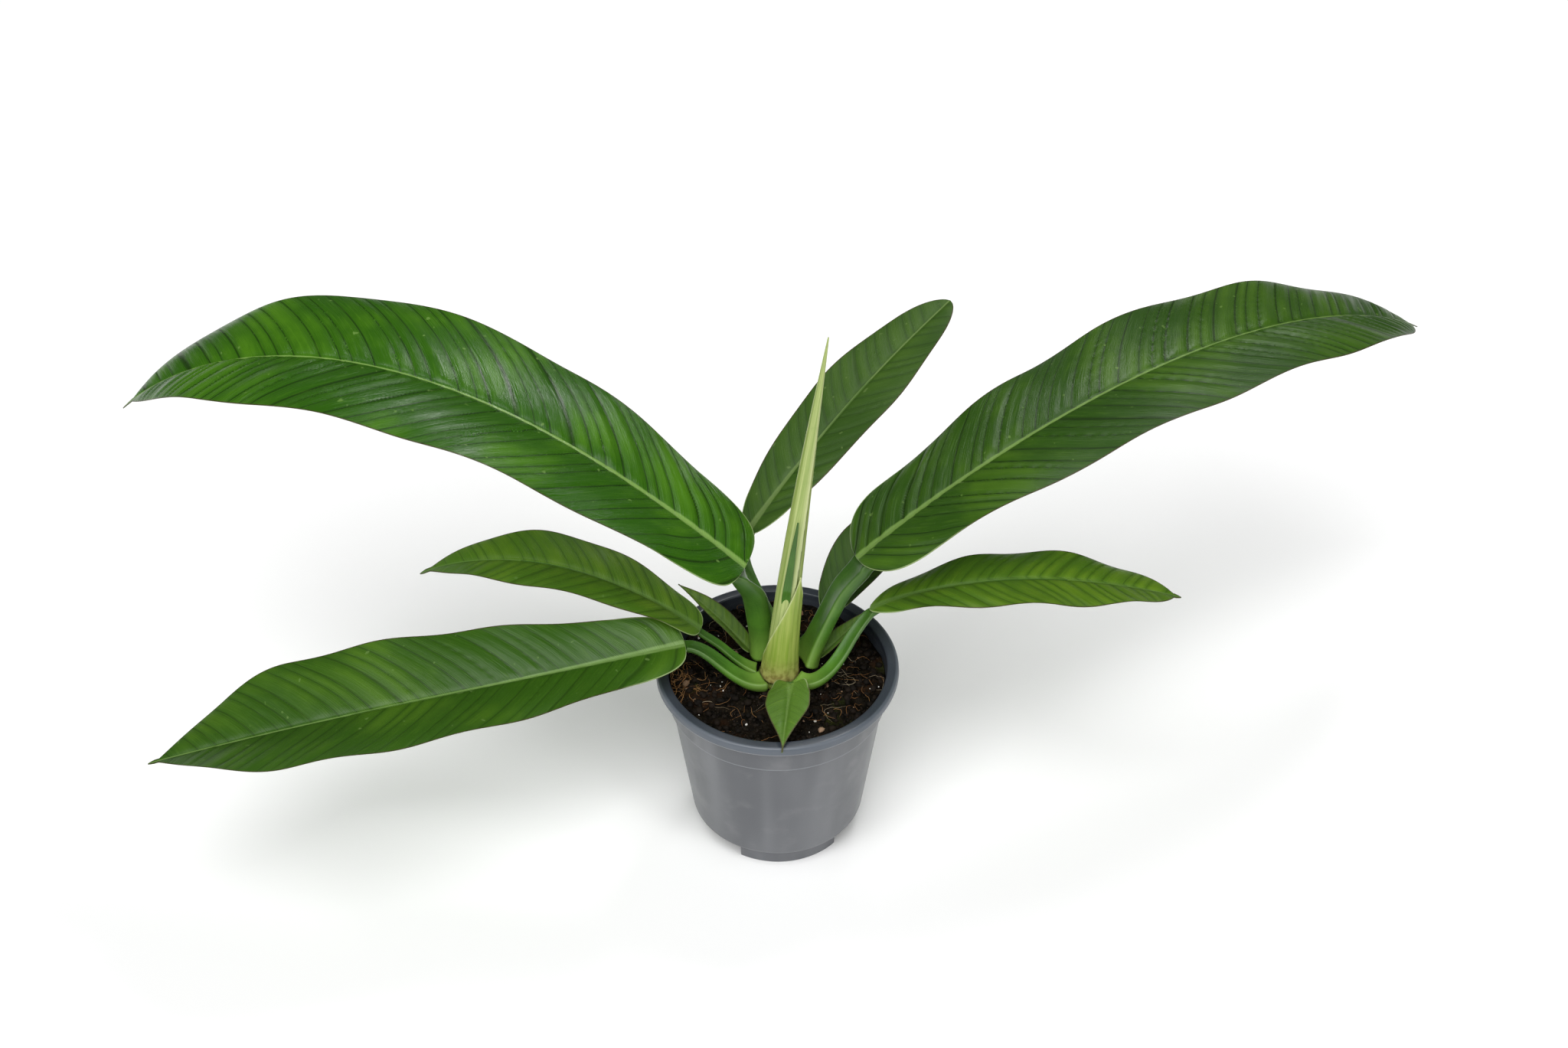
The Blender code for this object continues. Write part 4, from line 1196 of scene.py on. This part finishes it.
def cut_pot(pot_mesh):
    """Cuts the three foot gaps and the six drain holes, and gives the finished mesh."""
    pot = bpy.data.objects.new("pot_blank", pot_mesh)
    cutters = bpy.data.collections.new("pot_cutters")
    bpy.context.scene.collection.objects.link(pot)
    bpy.context.scene.collection.children.link(cutters)
    foot_cut = (FOOT_RADIUS, (FOOT_CUT_DEEP, FOOT_GAP / 2), True, -5 * MM, FOOT_HIGH - 0.9 * MM)
    drain_size = (DRAIN_RADIUS, DRAIN_RADIUS)
    drain_cut = (DRAIN_RING, drain_size, False, FOOT_HIGH - 2 * MM, FOOT_HIGH + 4 * MM)
    cuts = [(FIRST_GAP_DEG + 120 * index, *foot_cut) for index in range(3)]
    cuts += [(FIRST_GAP_DEG + 60 * index, *drain_cut) for index in range(6)]
    for index, numbers in enumerate(cuts):
        name = f"pot_cutter_{index}"
        cutters.objects.link(bpy.data.objects.new(name, cutter_mesh(name, *numbers)))
    cut = pot.modifiers.new("cut", "BOOLEAN")
    cut.operand_type = "COLLECTION"
    cut.collection = cutters
    graph = bpy.context.evaluated_depsgraph_get()
    finished = bpy.data.meshes.new_from_object(pot.evaluated_get(graph))
    for helper in [*cutters.objects, pot]:
        bpy.data.objects.remove(helper, do_unlink=True)
    bpy.data.collections.remove(cutters)
    return finished


def pot_finish():
    """Grey moulded plastic: a bluish grey, cooler and darker on the lip, with painted shade inside,
    faint upright light and dark bands painted in as reflections, painted highlights along the step and
    under the lip, a little dust and tiny scratches."""
    material, tree, shader = new_finish("grey_pot_plastic", 0.36)
    place = own_place(tree)
    apart = put(tree, "ShaderNodeSeparateXYZ", {"Vector": place})
    # Upright light and dark bands in the grey: painted reflections, beside the wall's real slight
    # unevenness.
    drawn_up = put(tree, "ShaderNodeMapping", {"Vector": place, "Scale": (42.0, 42.0, 2.5)})
    streaks = fade(noise(drawn_up.outputs[0], 1.0, 2.0), 0.36, 0.64)
    color = blend(streaks, (0.084, 0.089, 0.099), (0.132, 0.138, 0.149))
    dust = fade(noise(place, 70.0, 5.0), 0.5, 0.8)
    color = over(color, dust, 0.25, (0.26, 0.26, 0.265))
    # Thin pale lines at the step and just under the lip: painted highlights on these edges.
    for edge in (BAND_LOW + 0.9 * MM, RIM_Z - LIP_HIGH + 0.1 * MM):
        off = maths("ABSOLUTE", maths("SUBTRACT", apart.outputs["Z"], edge))
        painted_edge_highlight = inverse(fade(off, 0.2 * MM, 0.9 * MM))
        color = over(color, painted_edge_highlight, 0.55, (0.235, 0.25, 0.27))
    lip = fade(apart.outputs["Z"], RIM_Z - LIP_HIGH + 0.5 * MM, RIM_Z - LIP_HIGH + 1.1 * MM)
    color = over(color, lip, 0.85, (0.082, 0.098, 0.120))
    # The inside of the pot is painted nearly black: painted shade in the pot's recess.
    color = over(color, field(tree, "inside"), 0.9, (0.030, 0.036, 0.048))
    paint(shader, color, plus(times(noise(place, 45.0, 4.0), 0.25), 0.26))
    grain = noise(place, 1400.0, 2.0)
    bump(shader, plus(grain, times(streaks, 0.6)), 0.12, 0.0003)
    return material


INSIDE_ROWS = 28  # the last rows of the profile, from the top of the lip inward
profile = pot_profile()
pot_points = turned_points(profile, POT_COLUMNS, WALL_RIPPLE)
# Marks the rows inside the pot, which the finish paints with painted shade.
painted_shade_inside = (np.arange(len(profile)) > len(profile) - INSIDE_ROWS)[:, None] + 0 * pot_points[..., 0]
pot_mesh = cut_pot(grid_mesh("pot_turned", pot_points, {"inside": painted_shade_inside}))
pot_mesh.shade_smooth()
pot_mesh.set_sharp_from_angle(angle=math.radians(50))
add_piece("moulded_pot", pot_mesh, pot_finish(), "pot", "nursery_pot")

# %% [markdown]
# ## The potting mix
#
# The mix is a root ball that fills the pot. Its top is lumpy at three sizes at once: clods, crumbs
# and grains. A turned grid with that noise added to its height makes it, and loose crumbs, white
# perlite, bark and fibres are then strewn on the same surface.

# %% Soil surface
SOIL_RADIUS = RIM_RADIUS - LIP_OUT - WALL - 0.35 * MM


def soil_height(x, y):
    """The soil's height at a place: lumps of three sizes, a slight mound at the stem and a slight
    fall at the wall."""
    from_axis = np.hypot(x - POT_AXIS[0], y - POT_AXIS[1])
    from_stem = np.hypot(x - CROWN_MIDDLE[0], y - CROWN_MIDDLE[1])
    place = np.stack([x, y, 0 * x], -1)
    lumps = 1.3 * MM * rough(place, 0.014, 1, 21) + 1.1 * MM * rough(place, 0.0055, 2, 22)
    lumps = lumps + 0.5 * MM * rough(place, 0.0018, 2, 25)
    mound = 1.2 * MM * np.exp(-((from_stem / 0.018) ** 2))
    fall = 1.5 * MM * (from_axis / SOIL_RADIUS) ** 4
    return SOIL_Z - 0.3 * MM + lumps + mound - fall


def soil_points(top_rows, columns):
    """From under the root ball, out and up the wall, and in over the lumpy top."""
    turn = all_round(columns)[None, :]
    wall = np.array([
        (2.0 * MM, FOOT_HIGH + WALL + 0.3 * MM),
        (BASE_RADIUS - 2 * WALL, FOOT_HIGH + WALL + 0.3 * MM),
        (SOIL_RADIUS - 2.6 * MM, BAND_LOW - 1.5 * MM),
    ])
    top = np.linspace(SOIL_RADIUS - 0.3 * MM, 1.0 * MM, top_rows)
    out = np.concatenate([wall[:, 0], top])[:, None]
    x = POT_AXIS[0] + out * np.cos(turn)
    y = POT_AXIS[1] + out * np.sin(turn)
    z = soil_height(x, y)
    z[: len(wall)] = wall[:, 1, None]
    return np.stack([x, y, z], -1)


def soil_finish():
    """Near-black brown with lighter clods, redder and mossy patches and light grit, all at random, and
    a roughness that varies from damp to dry.
    """
    material, tree, shader = new_finish("potting_mix", 0.75, specular=0.05)
    place = own_place(tree)
    clods = fade(noise(place, 260.0, 6.0), 0.35, 0.7)
    color = blend(clods, (0.0022, 0.0018, 0.0012), (0.011, 0.0078, 0.0045))
    rust = fade(noise(place, 75.0, 5.0), 0.52, 0.72)
    color = over(color, rust, 0.45, (0.050, 0.020, 0.007))
    moss = fade(noise(place, 48.0, 4.0), 0.60, 0.72)
    color = over(color, moss, 0.45, (0.035, 0.045, 0.008))
    grit = fade(noise(place, 1500.0, 1.0), 0.72, 0.78)
    color = over(color, grit, 0.6, (0.22, 0.17, 0.11))
    damp = fade(noise(place, 150.0, 4.0), 0.3, 0.7)
    paint(shader, color, plus(times(damp, 0.4), 0.42))
    bump(shader, noise(place, 900.0, 5.0), 0.8, 0.0012)
    return material


soil_mesh = grid_mesh("potting_mix", soil_points(130, 300), {})
add_piece("potting_mix", soil_mesh, soil_finish(), "soil", "potting_soil")

# %% [markdown]
# ### Loose bits on the soil
#
# Hundreds of small things lie on the mix. Each kind is one mesh: a few dozen faces are copied to
# every place at once by array sums, each copy turned, stretched and dented by its own random draw.
# Fibres and roots are thin tubes along bent paths that follow the ground.

# %% Lumps and fibres


def lump_template(rings, sides):
    """A ball of a few faces: rings of points between two poles."""
    lat = (np.pi * (np.arange(rings) + 0.5) / rings - np.pi / 2)[:, None]
    ball = turned((0.0, 0.0), np.cos(lat), all_round(sides), np.sin(lat))
    _, quads, fans = wrapped_faces(rings, sides)
    return np.vstack([ball.reshape(-1, 3), [0, 0, -1], [0, 0, 1]]), quads, fans


def random_turns(draw, count):
    """Random rotation matrices, from the three axes of a random frame."""
    frames, _ = np.linalg.qr(draw.normal(size=(count, 3, 3)))
    frames[:, :, 2] *= np.sign(np.linalg.det(frames))[:, None]
    return frames


def strewn_places(draw, count, most):
    """Random places on the soil, out to this share of its radius and clear of the stem."""
    turn = draw.uniform(0, 2 * np.pi, count)
    out = SOIL_RADIUS * most * np.sqrt(draw.uniform(0.07, 1.0, count))
    return POT_AXIS[0] + out * np.cos(turn), POT_AXIS[1] + out * np.sin(turn)


def add_copies(name, finish, points, quads, triangles, draw):
    """One mesh of many copies, each with its own tone from 0 to 1."""
    count, size = points.shape[:2]
    shift = (np.arange(count) * size)[:, None, None]
    tone = {"tone": np.repeat(draw.uniform(0, 1, count), size)}
    every = (quads + shift).reshape(-1, 4), (triangles + shift).reshape(-1, 3)
    add_piece(name, mesh_from(name, points.reshape(-1, 3), *every, tone), finish, "soil")


def strew_lumps(name, finish, seed, count, smallest, largest, flat, sunk):
    """Copies of one dented ball on the soil: size times stretch, turned, moved to its place."""
    draw = np.random.default_rng(seed)
    ball, quads, fans = lump_template(4, 7)
    x, y = strewn_places(draw, count, 0.97)
    size = smallest + (largest - smallest) * draw.uniform(0, 1, count) ** 2.5
    stretch = draw.uniform(0.6, 1.0, (count, 1, 3)) * [1.0, 1.0, flat]
    dents = 1 + draw.uniform(-0.22, 0.22, (count, len(ball), 1))
    lumps = np.einsum("nij,nkj->nki", random_turns(draw, count), ball * dents) * stretch
    centre = np.stack([x, y, soil_height(x, y) + size * flat * (0.6 - sunk)], -1)
    points = centre[:, None] + lumps * size[:, None, None]
    add_copies(name, finish, points, quads, fans, draw)


def strew_fibres(name, finish, seed, count, lengths, radii, where=None):
    """Thin tapered tubes: each path bends evenly, rises and falls in one or two humps, and follows
    the soil below it. where can gather them round a place, as (x, y, spread)."""
    draw = np.random.default_rng(seed)
    steps, sides = 14, 4
    x, y = strewn_places(draw, count, 0.93)
    if where:
        x = draw.normal(where[0], where[2], count)
        y = draw.normal(where[1], where[2], count)
    along = np.linspace(0.0, 1.0, steps)[None, :]
    length = draw.uniform(*lengths, count)[:, None]
    turn = draw.uniform(0, 2 * np.pi, count)[:, None] + draw.normal(0, 1.6, count)[:, None] * along
    turn = turn + 0.5 * np.sin(draw.uniform(3, 9, (count, 1)) * along + draw.uniform(0, 6, (count, 1)))
    step = length / steps
    path_x = x[:, None] + np.cumsum(step * np.cos(turn), axis=1)
    path_y = y[:, None] + np.cumsum(step * np.sin(turn), axis=1)
    from_axis = np.hypot(path_x - POT_AXIS[0], path_y - POT_AXIS[1])
    keep = np.minimum(1.0, (SOIL_RADIUS - 1.0 * MM) / from_axis)
    path_x = POT_AXIS[0] + (path_x - POT_AXIS[0]) * keep
    path_y = POT_AXIS[1] + (path_y - POT_AXIS[1]) * keep
    hump = np.abs(np.sin(draw.uniform(1, 5, (count, 1)) * along + draw.uniform(0, 3, (count, 1))))
    path_z = soil_height(path_x, path_y) + 0.3 * MM + draw.uniform(0, 2.2 * MM, (count, 1)) * hump
    path = np.stack([path_x, path_y, path_z], -1)
    side = np.stack([-np.sin(turn), np.cos(turn), 0 * turn], -1)[:, :, None]
    half = draw.uniform(*radii, count)[:, None] * (1 - 0.85 * np.abs(2 * along - 1) ** 3)
    about = all_round(sides)[None, None, :, None]
    section = np.cos(about) * side + np.sin(about) * np.array([0.0, 0.0, 1.0])
    points = (path[:, :, None] + half[:, :, None, None] * section).reshape(count, -1, 3)
    number, quads, _ = wrapped_faces(steps, sides)
    quads = np.vstack([quads, number[0, -2::-1], number[-1, :-1]])
    add_copies(name, finish, points, quads, np.zeros((0, 3), int), draw)


def bits_finish(name, dark, light, roughness, grain):
    """Two colours blended by each bit's own tone and by fine noise."""
    material, tree, shader = new_finish(name, roughness, specular=0.15)
    fine = noise(own_place(tree), grain, 4.0)
    share = plus(times(field(tree, "tone"), 0.7), times(fine, 0.3))
    paint(shader, blend(share, dark, light))
    bump(shader, fine, 0.5, 0.0004)
    return material


CRUMB = bits_finish("soil_crumb", (0.0020, 0.0016, 0.0010), (0.013, 0.008, 0.0045), 0.8, 900.0)
PERLITE = bits_finish("white_perlite", (0.45, 0.42, 0.36), (0.80, 0.79, 0.75), 0.85, 1500.0)
BARK = bits_finish("bark_and_grit", (0.11, 0.055, 0.028), (0.33, 0.22, 0.14), 0.75, 1100.0)
COIR = bits_finish("coir_fibre", (0.14, 0.052, 0.016), (0.36, 0.20, 0.08), 0.7, 500.0)
ROOT = bits_finish("fine_root", (0.20, 0.15, 0.09), (0.42, 0.35, 0.24), 0.65, 500.0)
strew_lumps("soil_crumbs", CRUMB, 31, 1500, 0.45 * MM, 2.3 * MM, 0.75, 0.2)
strew_lumps("perlite_bits", PERLITE, 32, 44, 0.35 * MM, 1.1 * MM, 0.85, 0.0)
strew_lumps("bark_bits", BARK, 33, 34, 0.6 * MM, 3.0 * MM, 0.65, 0.1)
strew_fibres("coir_fibres", COIR, 34, 96, (0.005, 0.018), (0.07 * MM, 0.14 * MM))
strew_fibres("fine_roots", ROOT, 35, 30, (0.008, 0.024), (0.06 * MM, 0.13 * MM))
tuft_place = (POT_AXIS[0] - 0.049, POT_AXIS[1] - 0.008, 0.0035)
strew_fibres("coir_tuft", COIR, 36, 46, (0.008, 0.018), (0.08 * MM, 0.16 * MM), tuft_place)
